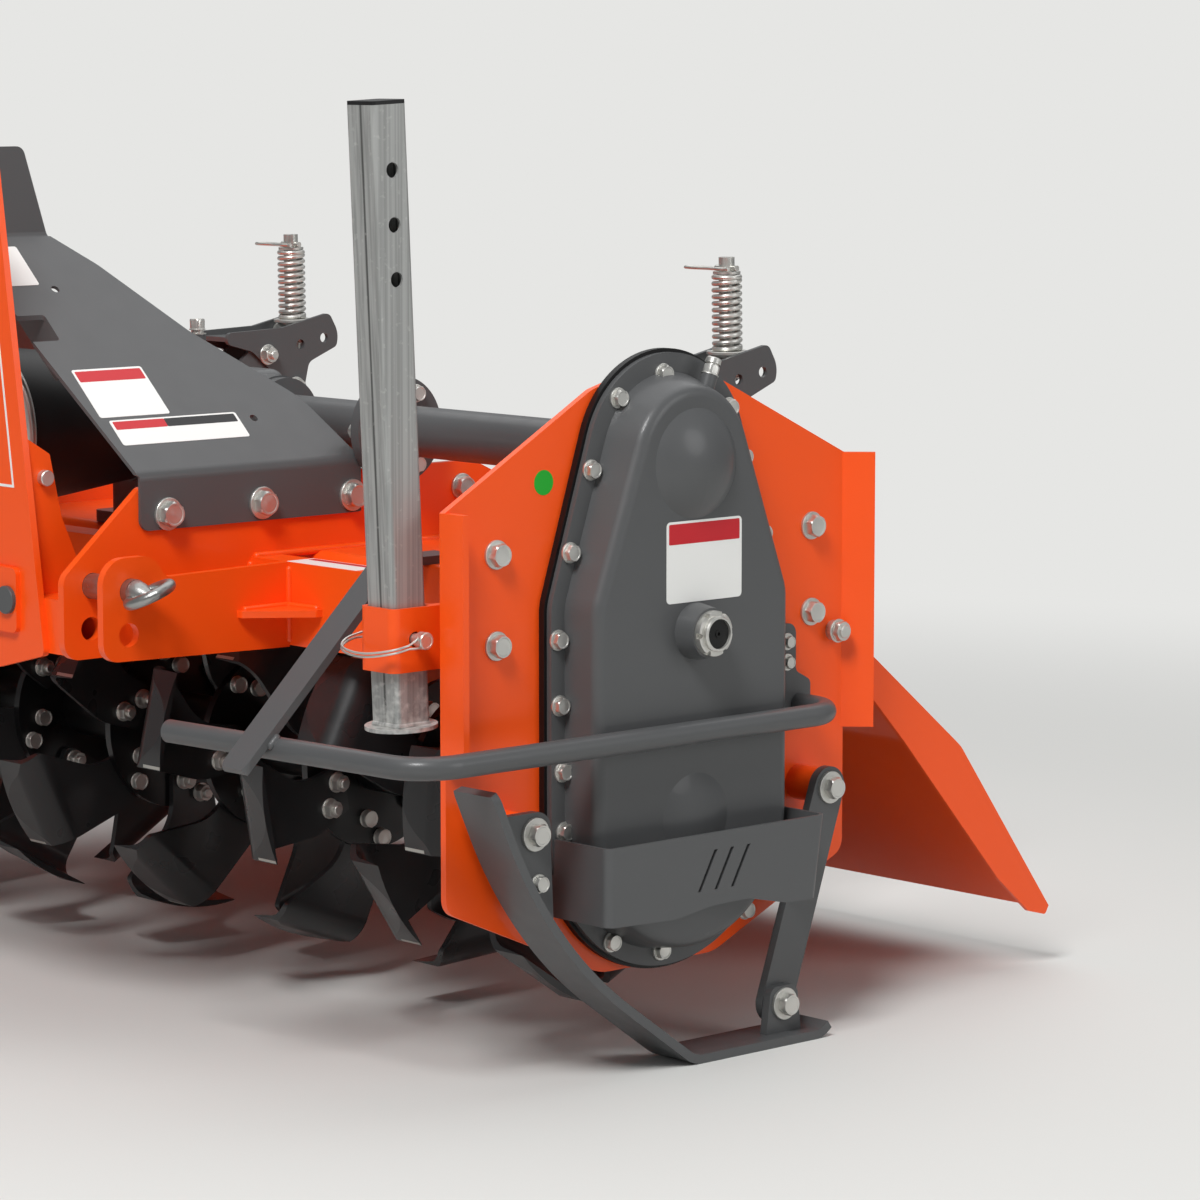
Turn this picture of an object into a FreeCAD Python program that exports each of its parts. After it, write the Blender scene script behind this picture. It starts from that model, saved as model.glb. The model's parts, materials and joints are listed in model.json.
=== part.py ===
import FreeCAD, Part
import os
from math import acos, atan2, cos, hypot, pi, radians, sin, tan

from FreeCAD import Vector

# Three-point rotavator, all lengths in millimetres.
# X runs across the machine, with its chain case at +X, Y runs from the tractor backwards,
# and Z is up from the ground.  Y = 0 is the front edge of the end plates, X = 0 the PTO.
# At the end everything moves together so that the origin is under the middle of the box.

# Corner radii of cut sheet
TINY_CORNER = 4.0
SMALL_CORNER = 8.0
CORNER = 12.0
LARGE_CORNER = 20.0
WIDE_CORNER = 30.0
SWEPT_CORNER = 60.0

# Width, end plates and their flanges
HALF_WIDTH = 765.0              # outer face of an end plate
END_PLATE = 8.0
PLATE_REAR = 588.0
PLATE_TOP = 755.0
PLATE_SHOULDER = 728.0
PLATE_SHOULDER_SPAN = 97.0      # each way from the rotor
PLATE_FRONT_TOP = 611.0
PLATE_REAR_TOP = 638.0
PLATE_FRONT_FOOT = 192.0
PLATE_REAR_FOOT = 188.0
PLATE_KEEL = 98.0
PLATE_KEEL_SPAN = 84.0          # each way from the rotor
FRONT_FLANGE = 29.0             # bent outwards
FRONT_FLANGE_FOOT = 352.0
REAR_FLANGE = 26.0              # bent outwards at 45 degrees
REAR_FLANGE_FOOT = 328.0

# Rotor
ROTOR_Y = 302.0
ROTOR_Z = 266.0
SHAFT_RADIUS = 38.0
SHAFT_WALL = 9.0
SHAFT_PLUG = 40.0
SHAFT_GAP = 15.0                # to the end plate
STUB_RADIUS = 30.0
STUB_REACH = 35.0               # past the outer face of the end plate
STUB_END_GAP = 2.0
RUNNING_FIT = 0.05
END_PLATE_BORE = 46.0
FLANGE_COUNT = 8
FLANGE_EDGE = 77.0              # from the last tine flange to the end of the tube
FLANGE_RADIUS = 105.0
FLANGE_THICK = 10.0
FLANGE_TWIST = 23.0             # degrees from one flange to the next
TINES_A_SIDE = 3                # on each side of a flange

# Tines
TIP_RADIUS = 220.0
TINE_THICK = 8.0
TINE_REACH = 68.0               # sideways, from the middle of its flange
TINE_ROOT = 58.0                # inner end, from the rotor's axis
TINE_HALF_ROOT = 26.0
TINE_NECK = 118.0
TINE_NECK_FRONT = -32.0
TINE_NECK_BACK = 36.0
TINE_TIP_FRONT = 2.0
TINE_TIP_BACK = 112.0
TINE_HEEL = 168.0
TINE_BEND = 34.0
TINE_LEAN = 15.0                # degrees that the blade's middle trails behind its root

# Upper drive
DRIVE_Z = 652.0
AXLE_TUBE_RADIUS = 29.0
AXLE_FLANGE_RADIUS = 48.0
AXLE_FLANGE = 14.0
AXLE_END_RADIUS = 62.0
GEARBOX_HALF_X = 80.0
GEARBOX_FRONT = 190.0
GEARBOX_REAR = 345.0
GEARBOX_TOP = 706.0
GEARBOX_CORNER = 18.0
GEARBOX_FOOT = 14.0
GEARBOX_FOOT_EDGE = 30.0
GEARBOX_HUB_RADIUS = 50.0
GEARBOX_HUB = 112.0             # outer face of the side hubs
GEARBOX_PLUG_RADIUS = 10.0
GEARBOX_PLUG = 42.0
AXLE_JOINT_GAP = 3.0            # from the guard plate's foot to the axle tube's middle flange
NOSE_LENGTH = 35.0
NOSE_RIM = 2.0                  # how far the nose stands out round the shield's end
PTO_RADIUS = 17.5
PTO_SEAT_RADIUS = 20.0
PTO_FRONT = 55.0
PTO_SEAT = 60.0
SHIELD_FRONT = -35.0
SHIELD_SMALL = 72.0
SHIELD_MOUTH = 96.0
SHIELD_WALL = 4.0
RING_WIRE = 6.0
RING_GAP = 0.2

# Chain case on the left end plate, each outline as (bottom, shoulder, top) radii
CASE_BACKING = 8.0
CASE_RIM = 4.0                  # how far the backing shows round the flange
CASE_FLANGE = 7.0
CASE_DEPTH = 44.0               # raised body, out from the flange
CASE_KINK_Z = 495.0
CASE_TOP_Z = 648.0
CASE_FLANGE_RADII = (168.0, 58.0, 116.0)
CASE_FOOT_RADII = (149.0, 52.0, 95.0)
CASE_CROWN_RADII = (141.0, 48.0, 81.0)
CASE_ROUNDING = 13.0
UPPER_DOME = 59.0
UPPER_DOME_RISE = 20.0
LOWER_DOME = 48.0
LOWER_DOME_RISE = 8.0
LEVEL_BOSS_Z = 468.0
LEVEL_BOSS_ROOT = 31.0
LEVEL_BOSS_TIP = 27.0
LEVEL_BOSS = 24.0
BREATHER_RADIUS = 9.0
BREATHER_DEPTH = 20.0           # out from the flange
BREATHER_FOOT = (37.0, 724.0)   # behind the rotor's axis, height
BREATHER_TOP = (43.0, 739.0)

# Bearing housing on the right end plate
HOUSING_RADIUS = 92.0
HOUSING_FLANGE = 12.0
HOUSING_HUB = 68.0
HOUSING_NOSE = 60.0
HOUSING_DEPTH = 46.0

# Beams and deck
BEAM_FRONT = 100.0
BEAM_DEPTH = 40.0
BEAM_TOP = 520.0
BEAM_BOTTOM = 427.0
BEAM_WALL = 5.0
REAR_BEAM_Y = 495.0
REAR_BEAM_BOTTOM = 448.0
BEAM_FLANGE = 8.0
BEAM_FLANGE_FOOT = 437.0
BEAM_FLANGE_TOP = 593.0
FRONT_BEAM_FLANGE = 56.0        # before the front beam's face
REAR_BEAM_FLANGE = 27.0         # behind the rear beam's face
BEAM_FLANGE_EDGE = 6.0
DECK = 4.0
DECK_LOW = 452.0
DECK_RAMP = 54.0
DECK_BEND = 14.0
STRAP_SEAT = 19.0               # height of the strap's seat over the front beam
STRAP_SEAT_DEPTH = 50.0         # down the beam's front face
STRAP_SEAT_LIP = 6.0
STRAP_SEAT_START = 8.0          # outwards from the strap's middle
STRAP_SEAT_WIDE = 50.0

# Hitch
CRADLE_X = 313.0                # outer face
CRADLE = 10.0
CRADLE_TOP = 608.0
CRADLE_FRONT = -157.0
CRADLE_FOOT = 425.0
CRADLE_STEP = -52.0
CRADLE_NOSE_TOP = 516.0
CRADLE_REAR_TOP = 560.0
CRADLE_SLOPE = 105.0            # length of its sloping rear end
CLEVIS_GAP = 59.0               # between the cradle plate and the clevis plate
CLEVIS = 10.0
CLEVIS_FOOT = 430.0
CLEVIS_HEAD = 37.0              # round the hitch pin
GUSSET_TOP = 472.0
GUSSET = 8.0
GUSSET_REACH = 58.0
GUSSET_DEPTH = 73.0
PIN_Y = -118.0
PIN_Z = 505.0
PIN_RADIUS = 14.0
PIN_FIT = 0.3
PIN_END = 10.0
HANDLE_RADIUS = 24.0
HANDLE_WIRE = 6.5
HANDLE_NORMAL = (-0.23, -0.34, 0.91)   # square to the loop, which hangs aslant
SPARE_HOLE_Y = -121.0
SPARE_HOLE_Z = 458.0
SPARE_HOLE = 13.0

# Mast
MAST_HEIGHT = 460.0             # from the lower pins to the top link
MAST_FRONT = -149.0
MAST_PLATE = 8.0
MAST_FOOT = 402.0
MAST_FOOT_RISE = 24.0
MAST_FOOT_IN = 166.0
MAST_FOOT_OUT = 264.0
MAST_HEAD_IN = 96.0
MAST_HEAD_OUT = 182.0
MAST_HEAD_TOP = 968.0
MAST_PAD = 6.0
MAST_PAD_IN = 165.0
MAST_PAD_OUT = 221.0
MAST_PAD_FOOT = 447.0
MAST_PAD_TOP = 519.0
WING_X = 220.0
WING_TOP = 661.0
WING_FOOT_DEPTH = 80.0          # behind the leg, at the crossbar's top
WING_WAIST = 84.0               # up from the crossbar's top
WING_WAIST_DEPTH = 44.0
WING_SHOULDER = 18.0            # down from the wing's top
WING_SHOULDER_DEPTH = 29.0
CROSSBAR_DEPTH = 40.0
CROSSBAR_HEIGHT = 60.0
CROSSBAR_FOOT = 428.0
CROSSBAR_WALL = 5.0
TOP_PIN_RADIUS = 9.5
TOP_PIN_Y = -178.0
TOP_LUG_GAP = 52.0
TOP_LUG = 10.0
TOP_LUG_NOSE = 24.0             # round the top link's hole
TOP_LUG_REAR = -16.0
TOP_LUG_STEP = -70.0
TOP_LUG_DROP = 24.0             # the rear part's top, under the top link's hole
TOP_CROSS_HALF = 150.0
TOP_CROSS_FOOT = 85.0           # under the top link's hole
TOP_CROSS_HEAD = 5.0

# Sloping guard plates between the cradle and the mast
COVER = 4.0
COVER_LAP = 48.0                # down over the cradle plate
COVER_RISE = 12.0               # from the cradle plate's top to the bend
COVER_TAB_Z = 872.0
COVER_TAB_TOP = 975.0
COVER_BEND = 12.0
COVER_FRONT = -55.0
COVER_UPPER_FRONT = -86.0
COVER_NOTCH_IN = 133.0
COVER_NOTCH_OUT = 163.0
COVER_NOTCH_Y = -49.0
COVER_TAB_REAR = 15.0
COVER_TAB_TOP_REAR = -9.0
COVER_FOOT_REAR = 264.0
COVER_EDGE = ((78.0, 66.0), (160.0, 133.0), (244.0, 228.0))   # (x, y) of its rear edge
COVER_HOLE = 5.0
COVER_HOLES = ((101.5, -12.5), (261.0, 145.0))                # (x, y) seen from above
COVER_RIB_IN = 70.0             # of the rib that is bent down behind the notch
COVER_RIB_DEPTH = 50.0          # under the slope

# Tailgate
HINGE_Y = 571.0
HINGE_Z = 439.0
HINGE_TUBE = 11.0
HINGE_PIN = 7.0
HINGE_FIT = 0.15
HINGE_PIN_REACH = 53.0          # of the pin inside the tailgate's tube
HINGE_NUT = 11.5
HINGE_NUT_DEPTH = 12.0
HINGE_PIN_END = 20.0
HINGE_LIP_GAP = 5.0             # between the rear beam's lip and the hinge tube
GATE_GAP = 7.0                  # to each end plate
GATE_SHEET = 5.0
GATE_KNEES = ((655.0, 398.0), (800.0, 281.0), (956.0, 72.0))  # (y, z) of the outer bends
GATE_FLANGE = ((659.0, 344.0), (705.0, 296.0), (866.0, 116.0), (920.0, 70.0), (950.0, 62.0))
GATE_BEND = 45.0
ROD_EYE_Y = 750.0
ROD_EYE_Z = 350.0
EYE_PIN = 6.0
EYE_PIN_TIP = 3.0               # outside the lugs
EYE_HALF = 8.0
EYE_RADIUS = 14.0
LUG = 6.0
LUG_PLAY = 1.5                  # between a lift rod and the lugs beside it
LUG_FRONT = 46.0
LUG_REAR = 15.0
LUG_RISE = 12.0
LUG_FOOT = 30.0

# Lift rods and their springs
ROD_FROM_CRADLE = 103.0
ROD_RADIUS = 9.5
ROD_TOP = 838.0
SWIVEL_Y = 744.0
SWIVEL_Z = 708.0
SWIVEL_RADIUS = 14.0
SWIVEL_PLAY = 2.6               # round the rod, which drifts as the gate lifts
SWIVEL_END_GAP = 0.5
SPRING_WIRE = 3.4
SPRING_LENGTH = 92.0
SPRING_GAP = 0.3
WASHER = 4.0
WASHER_RADIUS = 25.0
CATCH_RADIUS = 16.5
CATCH = 3.0
CATCH_PIN = 3.5
CATCH_PIN_RISE = 7.0
CATCH_PIN_HALF = 18.0
ARM_HALF_GAP = 27.0
ARM_PLATE = 6.0
ARM_FLOOR = 6.0
ARM_FLOOR_REACH = (132.0, 24.0)               # before and behind the swivel
ARM_CHEEK = (                                 # y and z from the swivel, corner radius
    (-138, -8, 8), (-132, 6, 6), (-44, 9, 0), (36, 26, 10), (52, -2, 30), (48, -19, 8),
    (1, -38, 14), (-8, -76, 14), (-26, -86, 12), (-38, -68, 30), (-94, -20, 20))
ARM_POST = (                                  # y and z from the swivel, corner radius
    (-9, -86, 16), (-6, -66, 16), (-54, -8, 16), (-80, -8, 16))
ARM_POST_TOP = 560.0
SPARE_ROD_HOLES = ((-13.0, -14.0), (27.0, -7.0))   # y and z from the swivel
SPARE_ROD_HOLE = 6.5

# Skids
SKID_GAP = 18.0                 # between an end plate and its skid
SKID_WIDTH = 62.0
SKID_BAR = 10.0
SKID_TOP = (-6.0, 325.0)
SKID_KNEE = (72.0, 150.0)
SKID_HEEL = 282.0               # where the front sweep would meet the ground
SKID_REAR = 478.0
SKID_TAIL = (492.0, 10.0)
SKID_SWEEP = 500.0
SKID_BEND = 40.0
SKID_LUG_GAP = 40.0             # between an end plate and the skid's lugs
SKID_LUG = 10.0
SKID_BOLT_Z = 273.0
SKID_FRONT_BOLT_Y = 79.0
SKID_REAR_BOLT_Y = 517.0
SKID_LUG_HEAD = 23.0
SKID_LUG_TOE = (106.0, 166.0)
SKID_LUG_ROOTS = ((86.0, 166.0), (50.0, 220.0), (12.0, 296.0))   # (y, z) inside the bar
SKID_FOOT_Y = 437.0
SKID_FOOT_Z = 42.0
SKID_FOOT_HALF = 27.0
SKID_FOOT_HEAD = 20.0
SKID_ARM_FOOT = 24.0
SKID_ARM_HEAD = 23.0
STANDOFF_RADIUS = 19.5

# Parking stand
STAND_INSET = 57.0              # from the outer face of the end plate
STAND_Y = -16.0
STAND_PIN_Z = 479.0
STAND_LEAN = 2.6                # degrees from upright, its head forwards
STAND_TUBE = 44.5
STAND_WALL = 3.0
STAND_CORNER = 5.0
STAND_TOP = 1031.0
STAND_FOOT_Z = 383.0
STAND_FOOT_RADIUS = 38.5
STAND_FOOT = 4.0
STAND_HOLE = 8.0
STAND_HOLE_COUNT = 3
STAND_HOLES_FROM_TOP = 67.0
STAND_HOLE_PITCH = 56.0
SOCKET_PLAY = 0.8
SOCKET_WALL = 5.0
SOCKET_CORNER = 10.0
SOCKET_FOOT = 445.0
SOCKET_HEAD = 512.0
SOCKET_BACK = 18.0
SOCKET_TIE = 14.0
CAP_THICK = 4.0
CAP_PLUG = 15.0

# Guard hoops and bumper
HOOP_RADIUS = 12.5
HOOP_Z = 362.0
HOOP_FRONT = -123.0
HOOP_CORNER = -98.0
HOOP_REAR = 510.0
HOOP_OUT = 77.0                 # from the end plate to the hoop's side
HOOP_BEND = 48.0
HOOP_START = 155.0              # from the strap to the hoop's open end
BRACKET = 8.0
BRACKET_FRONT = 476.0
BRACKET_BACK = 505.0
BRACKET_HEEL = 528.0
BRACKET_STEP = 388.0
BRACKET_FOOT = 344.0
BRACKET_TOP = 454.0
STRAP_WIDE = 40.0
STRAP_THICK = 9.0
STRAP_INSET = 155.0             # from the outer face of the end plate
STRAP_LEAN = 44.0               # degrees from level
STRAP_TOE = 46.0                # past the hoop
STRAP_OVERLAP = 1.0             # weld between the strap and the hoop
STRAP_REST = 34.0               # on its seat
BUMPER_OUT = 101.0              # from the end plate to the bumper's face
BUMPER_SHEET = 4.0
BUMPER_FRONT = 137.0
BUMPER_REAR = 461.0
BUMPER_REAR_LOW = 447.0
BUMPER_TOP = 256.0
BUMPER_LOW = 164.0
BUMPER_BEND = 10.0
BUMPER_EDGE = ((0, 8, 0), (98, 5, 60), (150, 13, 80), (205, 14, 80), (265, 1, 60), (326, 1, 0))
SLOT_WIDTH = 5.0
SLOT_LEAN = 24.5
SLOT_FOOT = 194.0
SLOT_HEAD = 237.5
SLOTS = (266.0, 290.5, 315.0)   # y of each slot's foot

LEFT, RIGHT = 1, -1
INNER = HALF_WIDTH - END_PLATE
CASE_FACE = HALF_WIDTH + CASE_BACKING + CASE_FLANGE
SHAFT_END = INNER - SHAFT_GAP
STUB_END = HALF_WIDTH + STUB_REACH
GEARBOX_NOSE = GEARBOX_FRONT - NOSE_LENGTH
CLEVIS_X = CRADLE_X + CLEVIS_GAP + CLEVIS
TOP_PIN_Z = PIN_Z + MAST_HEIGHT
COVER_TAB_X = TOP_LUG_GAP / 2 + TOP_LUG
COVER_FOOT = CRADLE_TOP - COVER_LAP
COVER_BEND_Z = CRADLE_TOP + COVER_RISE
GATE_HALF = INNER - GATE_GAP
ROD_X = CRADLE_X + ROD_FROM_CRADLE
ROD_EYE = (ROD_EYE_Y, ROD_EYE_Z)
SWIVEL = (SWIVEL_Y, SWIVEL_Z)
SKID_X = HALF_WIDTH + SKID_GAP
SKID_LUG_X = HALF_WIDTH + SKID_LUG_GAP
STAND_X = HALF_WIDTH - STAND_INSET
STRAP_X = HALF_WIDTH - STRAP_INSET
HOOP_SIDE = HALF_WIDTH + HOOP_OUT
BUMPER_FACE = HALF_WIDTH + BUMPER_OUT
ACROSS = Vector(1, 0, 0)
PAST = 1.0                      # how far a cutting tool reaches past what it cuts
WELD = 2.0                      # how far a welded piece reaches into its neighbour

PLANES = {
    "yz": lambda a, b, c: Vector(c, a, b),
    "xz": lambda a, b, c: Vector(a, c, b),
    "xy": lambda a, b, c: Vector(a, b, c),
}
NORMALS = {"yz": Vector(1, 0, 0), "xz": Vector(0, 1, 0), "xy": Vector(0, 0, 1)}


def rounded_corner(before, here, after):
    """Start, middle and end of the arc that rounds one corner of an outline."""
    point = Vector(*here[:-1])
    back = (Vector(*before[:-1]) - point).normalize()
    ahead = (Vector(*after[:-1]) - point).normalize()
    radius = here[-1]
    half = back.getAngle(ahead) / 2
    if radius <= 0 or half > pi / 2 - 1e-4:
        return [point]
    reach = radius / tan(half)
    inward = (back + ahead).normalize()
    centre = point + inward * (radius / sin(half))
    return [point + back * reach, centre - inward * radius, point + ahead * reach]


def outline_wire(points, plane, level):
    """A closed wire from corners (a, b) or (a, b, radius) on a named plane."""
    place = PLANES[plane]
    flat = [(p[0], p[1], 0.0, p[2] if len(p) == 3 else 0.0) for p in points]
    corners = [rounded_corner(flat[i - 1], flat[i], flat[(i + 1) % len(flat)])
               for i in range(len(flat))]
    edges = []
    for i, corner in enumerate(corners):
        following = corners[(i + 1) % len(corners)]
        spots = [place(p.x, p.y, level) for p in corner]
        if len(spots) == 3:
            edges.append(Part.Arc(*spots).toShape())
        target = place(following[0].x, following[0].y, level)
        if spots[-1].distanceToPoint(target) > 1e-4:
            edges.append(Part.LineSegment(spots[-1], target).toShape())
    return Part.Wire(edges)


def plate(points, plane, low, high):
    """A flat piece between two levels, cut to an outline of (a, b, radius) corners."""
    return Part.Face(outline_wire(points, plane, low)).extrude(NORMALS[plane] * (high - low))


def belt_wire(circles, plane, level):
    """A closed wire that runs round circles (a, b, radius), anticlockwise."""
    place = PLANES[plane]
    normals = []
    for i, (a, b, r) in enumerate(circles):
        c, d, s = circles[(i + 1) % len(circles)]
        normals.append(atan2(d - b, c - a) - acos((r - s) / hypot(c - a, d - b)))
    edges = []
    for i, (a, b, r) in enumerate(circles):
        start = normals[i - 1]
        sweep = (normals[i] - start) % (2 * pi)
        arc = [place(a + r * cos(start + sweep * f), b + r * sin(start + sweep * f), level)
               for f in (0.0, 0.5, 1.0)]
        edges.append(Part.Arc(*arc).toShape())
        c, d, s = circles[(i + 1) % len(circles)]
        landing = place(c + s * cos(normals[i]), d + s * sin(normals[i]), level)
        edges.append(Part.LineSegment(arc[2], landing).toShape())
    return Part.Wire(edges)


def belt(circles, plane, low, high):
    """A flat piece whose edge runs round circles, between two levels."""
    return Part.Face(belt_wire(circles, plane, low)).extrude(NORMALS[plane] * (high - low))


def sheet_outline(path, thick):
    """Outline of a sheet along corners (a, b, radius), its thickness on the path's left."""
    points = [Vector(p[0], p[1], 0) for p in path]
    radii = [p[2] if len(p) == 3 else 0.0 for p in path]
    runs = [(q - p).normalize() for p, q in zip(points, points[1:])]
    lefts = [Vector(-run.y, run.x, 0) for run in runs]
    far = [(points[0] + lefts[0] * thick, 0.0)]
    for i in range(1, len(points) - 1):
        miter = (lefts[i - 1] + lefts[i]).normalize()
        shift = miter * (thick / miter.dot(lefts[i]))
        turns_left = runs[i - 1].cross(runs[i]).z > 0
        radius = max(radii[i] - thick, RUNNING_FIT) if turns_left else radii[i] + thick
        far.append((points[i] + shift, radius if radii[i] else 0.0))
    far.append((points[-1] + lefts[-1] * thick, 0.0))
    near = [(p.x, p.y, r) for p, r in zip(points, radii)]
    return near + [(p.x, p.y, r) for p, r in reversed(far)]


def bent_sheet(path, thick, plane, low, high):
    """A bent sheet between two levels."""
    return plate(sheet_outline(path, thick), plane, low, high)


def rod(start, end, radius):
    """A round bar between two points."""
    way = end - start
    return Part.makeCylinder(radius, way.Length, start, way)


def cross_rod(low, high, y, z, radius):
    """A round bar across the machine."""
    return rod(Vector(low, y, z), Vector(high, y, z), radius)


def box(x, y, z):
    """A block between (low, high) pairs."""
    return Part.makeBox(x[1] - x[0], y[1] - y[0], z[1] - z[0], Vector(x[0], y[0], z[0]))


def bent_pipe(points, radius):
    """A round bar through (x, y, z, bend radius) points."""
    corners = [[Vector(*points[0][:3])]]
    corners += [rounded_corner(*points[i - 1:i + 2]) for i in range(1, len(points) - 1)]
    corners.append([Vector(*points[-1][:3])])
    edges = []
    for corner, following in zip(corners, corners[1:] + [None]):
        if len(corner) == 3:
            edges.append(Part.Arc(*corner).toShape())
        if following:
            edges.append(Part.LineSegment(corner[-1], following[0]).toShape())
    way = corners[1][0] - corners[0][0]
    ring = Part.Wire(Part.makeCircle(radius, corners[0][0], way))
    return Part.Wire(edges).makePipeShell([ring], True, False)


def dome(centre, radius, rise):
    """A spherical cap that bulges towards +X from a flat crown."""
    ball = (radius ** 2 + rise ** 2) / (2 * rise)
    sphere = Part.makeSphere(ball, centre + ACROSS * (rise - ball))
    reach = Part.makeCylinder(ball, rise + WELD, centre - ACROSS * WELD, ACROSS)
    return sphere.common(reach)


def fused(first, *others):
    """One solid from pieces that are welded together."""
    return first.multiFuse(list(others)).removeSplitter()


def on_side(shape, side):
    """The piece itself on the left, its mirror image on the right."""
    if side == LEFT:
        return shape
    return shape.mirror(Vector(0, 0, 0), ACROSS)


def end_plate():
    """Left end plate with both flanges and the skid's standoffs."""
    body = plate([(0, PLATE_FRONT_FOOT, LARGE_CORNER),
                  (ROTOR_Y - PLATE_KEEL_SPAN, PLATE_KEEL, SWEPT_CORNER),
                  (ROTOR_Y + PLATE_KEEL_SPAN, PLATE_KEEL, SWEPT_CORNER),
                  (PLATE_REAR, PLATE_REAR_FOOT, LARGE_CORNER), (PLATE_REAR, PLATE_REAR_TOP),
                  (ROTOR_Y + PLATE_SHOULDER_SPAN, PLATE_SHOULDER, WIDE_CORNER),
                  (ROTOR_Y, PLATE_TOP, WIDE_CORNER),
                  (ROTOR_Y - PLATE_SHOULDER_SPAN, PLATE_SHOULDER, WIDE_CORNER),
                  (0, PLATE_FRONT_TOP)], "yz", INNER, HALF_WIDTH)
    edge = HALF_WIDTH + FRONT_FLANGE
    front = plate([(INNER, FRONT_FLANGE_FOOT), (HALF_WIDTH, FRONT_FLANGE_FOOT - CORNER),
                   (edge, FRONT_FLANGE_FOOT), (edge, PLATE_FRONT_TOP), (INNER, PLATE_FRONT_TOP)],
                  "xz", 0, END_PLATE)
    bend = PLATE_REAR - END_PLATE * tan(pi / 8)
    tip = Vector(HALF_WIDTH + REAR_FLANGE, bend + REAR_FLANGE, 0)
    back = tip + Vector(-1, 1, 0).normalize() * END_PLATE
    rear = plate([(INNER, bend), (HALF_WIDTH, bend), (tip.x, tip.y), (back.x, back.y),
                  (INNER, PLATE_REAR)], "xy", REAR_FLANGE_FOOT, PLATE_REAR_TOP)
    posts = [cross_rod(HALF_WIDTH, SKID_LUG_X, y, SKID_BOLT_Z, STANDOFF_RADIUS)
             for y in (SKID_FRONT_BOLT_Y, SKID_REAR_BOLT_Y)]
    body = fused(body, front, rear, *posts)
    bore = cross_rod(INNER, HALF_WIDTH, ROTOR_Y, ROTOR_Z, END_PLATE_BORE)
    hinge = cross_rod(INNER, HALF_WIDTH + PAST, HINGE_Y, HINGE_Z, HINGE_PIN)
    return body.cut(bore).cut(hinge)


def case_circles(radii, rim=0.0):
    """The chain case's outline as four circles, grown by a rim."""
    low, shoulder, top = radii
    reach = low - shoulder
    return [(ROTOR_Y, ROTOR_Z, low + rim), (ROTOR_Y + reach, CASE_KINK_Z, shoulder + rim),
            (ROTOR_Y, CASE_TOP_Z, top + rim), (ROTOR_Y - reach, CASE_KINK_Z, shoulder + rim)]


def case_backing():
    """Black sealing plate between the end plate and the chain case."""
    outer = HALF_WIDTH + CASE_BACKING
    sheet = belt(case_circles(CASE_FLANGE_RADII, CASE_RIM), "yz", HALF_WIDTH, outer)
    return sheet.cut(cross_rod(HALF_WIDTH, outer, ROTOR_Y, ROTOR_Z, END_PLATE_BORE))


def chain_case():
    """Pressed chain case: flange, drafted body, two domes, the level boss and the breather."""
    seat = HALF_WIDTH + CASE_BACKING
    crown = CASE_FACE + CASE_DEPTH
    flange = belt(case_circles(CASE_FLANGE_RADII), "yz", seat, CASE_FACE)
    sections = [belt_wire(case_circles(CASE_FOOT_RADII), "yz", CASE_FACE),
                belt_wire(case_circles(CASE_CROWN_RADII), "yz", crown)]
    body = Part.makeLoft(sections, True, True)
    rim = [e for e in body.Edges if e.BoundBox.XMin > crown - RUNNING_FIT]
    body = body.makeFillet(CASE_ROUNDING, rim)
    domes = [dome(Vector(crown, ROTOR_Y, CASE_TOP_Z), UPPER_DOME, UPPER_DOME_RISE),
             dome(Vector(crown, ROTOR_Y, ROTOR_Z), LOWER_DOME, LOWER_DOME_RISE)]
    boss = Part.makeCone(LEVEL_BOSS_ROOT, LEVEL_BOSS_TIP, LEVEL_BOSS,
                         Vector(crown, ROTOR_Y, LEVEL_BOSS_Z), ACROSS)
    out = CASE_FACE + BREATHER_DEPTH
    breather = rod(Vector(out, ROTOR_Y + BREATHER_FOOT[0], BREATHER_FOOT[1]),
                   Vector(out, ROTOR_Y + BREATHER_TOP[0], BREATHER_TOP[1]), BREATHER_RADIUS)
    bore = cross_rod(seat, STUB_END + STUB_END_GAP, ROTOR_Y, ROTOR_Z, STUB_RADIUS + RUNNING_FIT)
    return fused(flange, body, *domes, boss, breather).cut(bore)


def bearing_housing():
    """Flanged bearing housing on the right end plate."""
    seat = Vector(-HALF_WIDTH, ROTOR_Y, ROTOR_Z)
    out = Vector(-1, 0, 0)
    flange = Part.makeCylinder(HOUSING_RADIUS, HOUSING_FLANGE, seat, out)
    hub = Part.makeCone(HOUSING_HUB, HOUSING_NOSE, HOUSING_DEPTH, seat, out)
    bore = Part.makeCylinder(STUB_RADIUS + RUNNING_FIT, STUB_REACH + STUB_END_GAP, seat, out)
    return fused(flange, hub).cut(bore)


def beam(front, bottom, flange_front, flange_back):
    """A box beam between the end plates with a bolting flange at each end."""
    end = INNER - BEAM_FLANGE
    tube = box((-end, end), (front, front + BEAM_DEPTH), (bottom, BEAM_TOP))
    hollow = box((-end, end), (front + BEAM_WALL, front + BEAM_DEPTH - BEAM_WALL),
                 (bottom + BEAM_WALL, BEAM_TOP - BEAM_WALL))
    corners = [(y, z, CORNER) for y, z in (
        (flange_front, BEAM_FLANGE_FOOT), (flange_back, BEAM_FLANGE_FOOT),
        (flange_back, BEAM_FLANGE_TOP), (flange_front, BEAM_FLANGE_TOP))]
    flanges = [on_side(plate(corners, "yz", end, INNER), side) for side in (LEFT, RIGHT)]
    return fused(tube.cut(hollow), *flanges)


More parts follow.
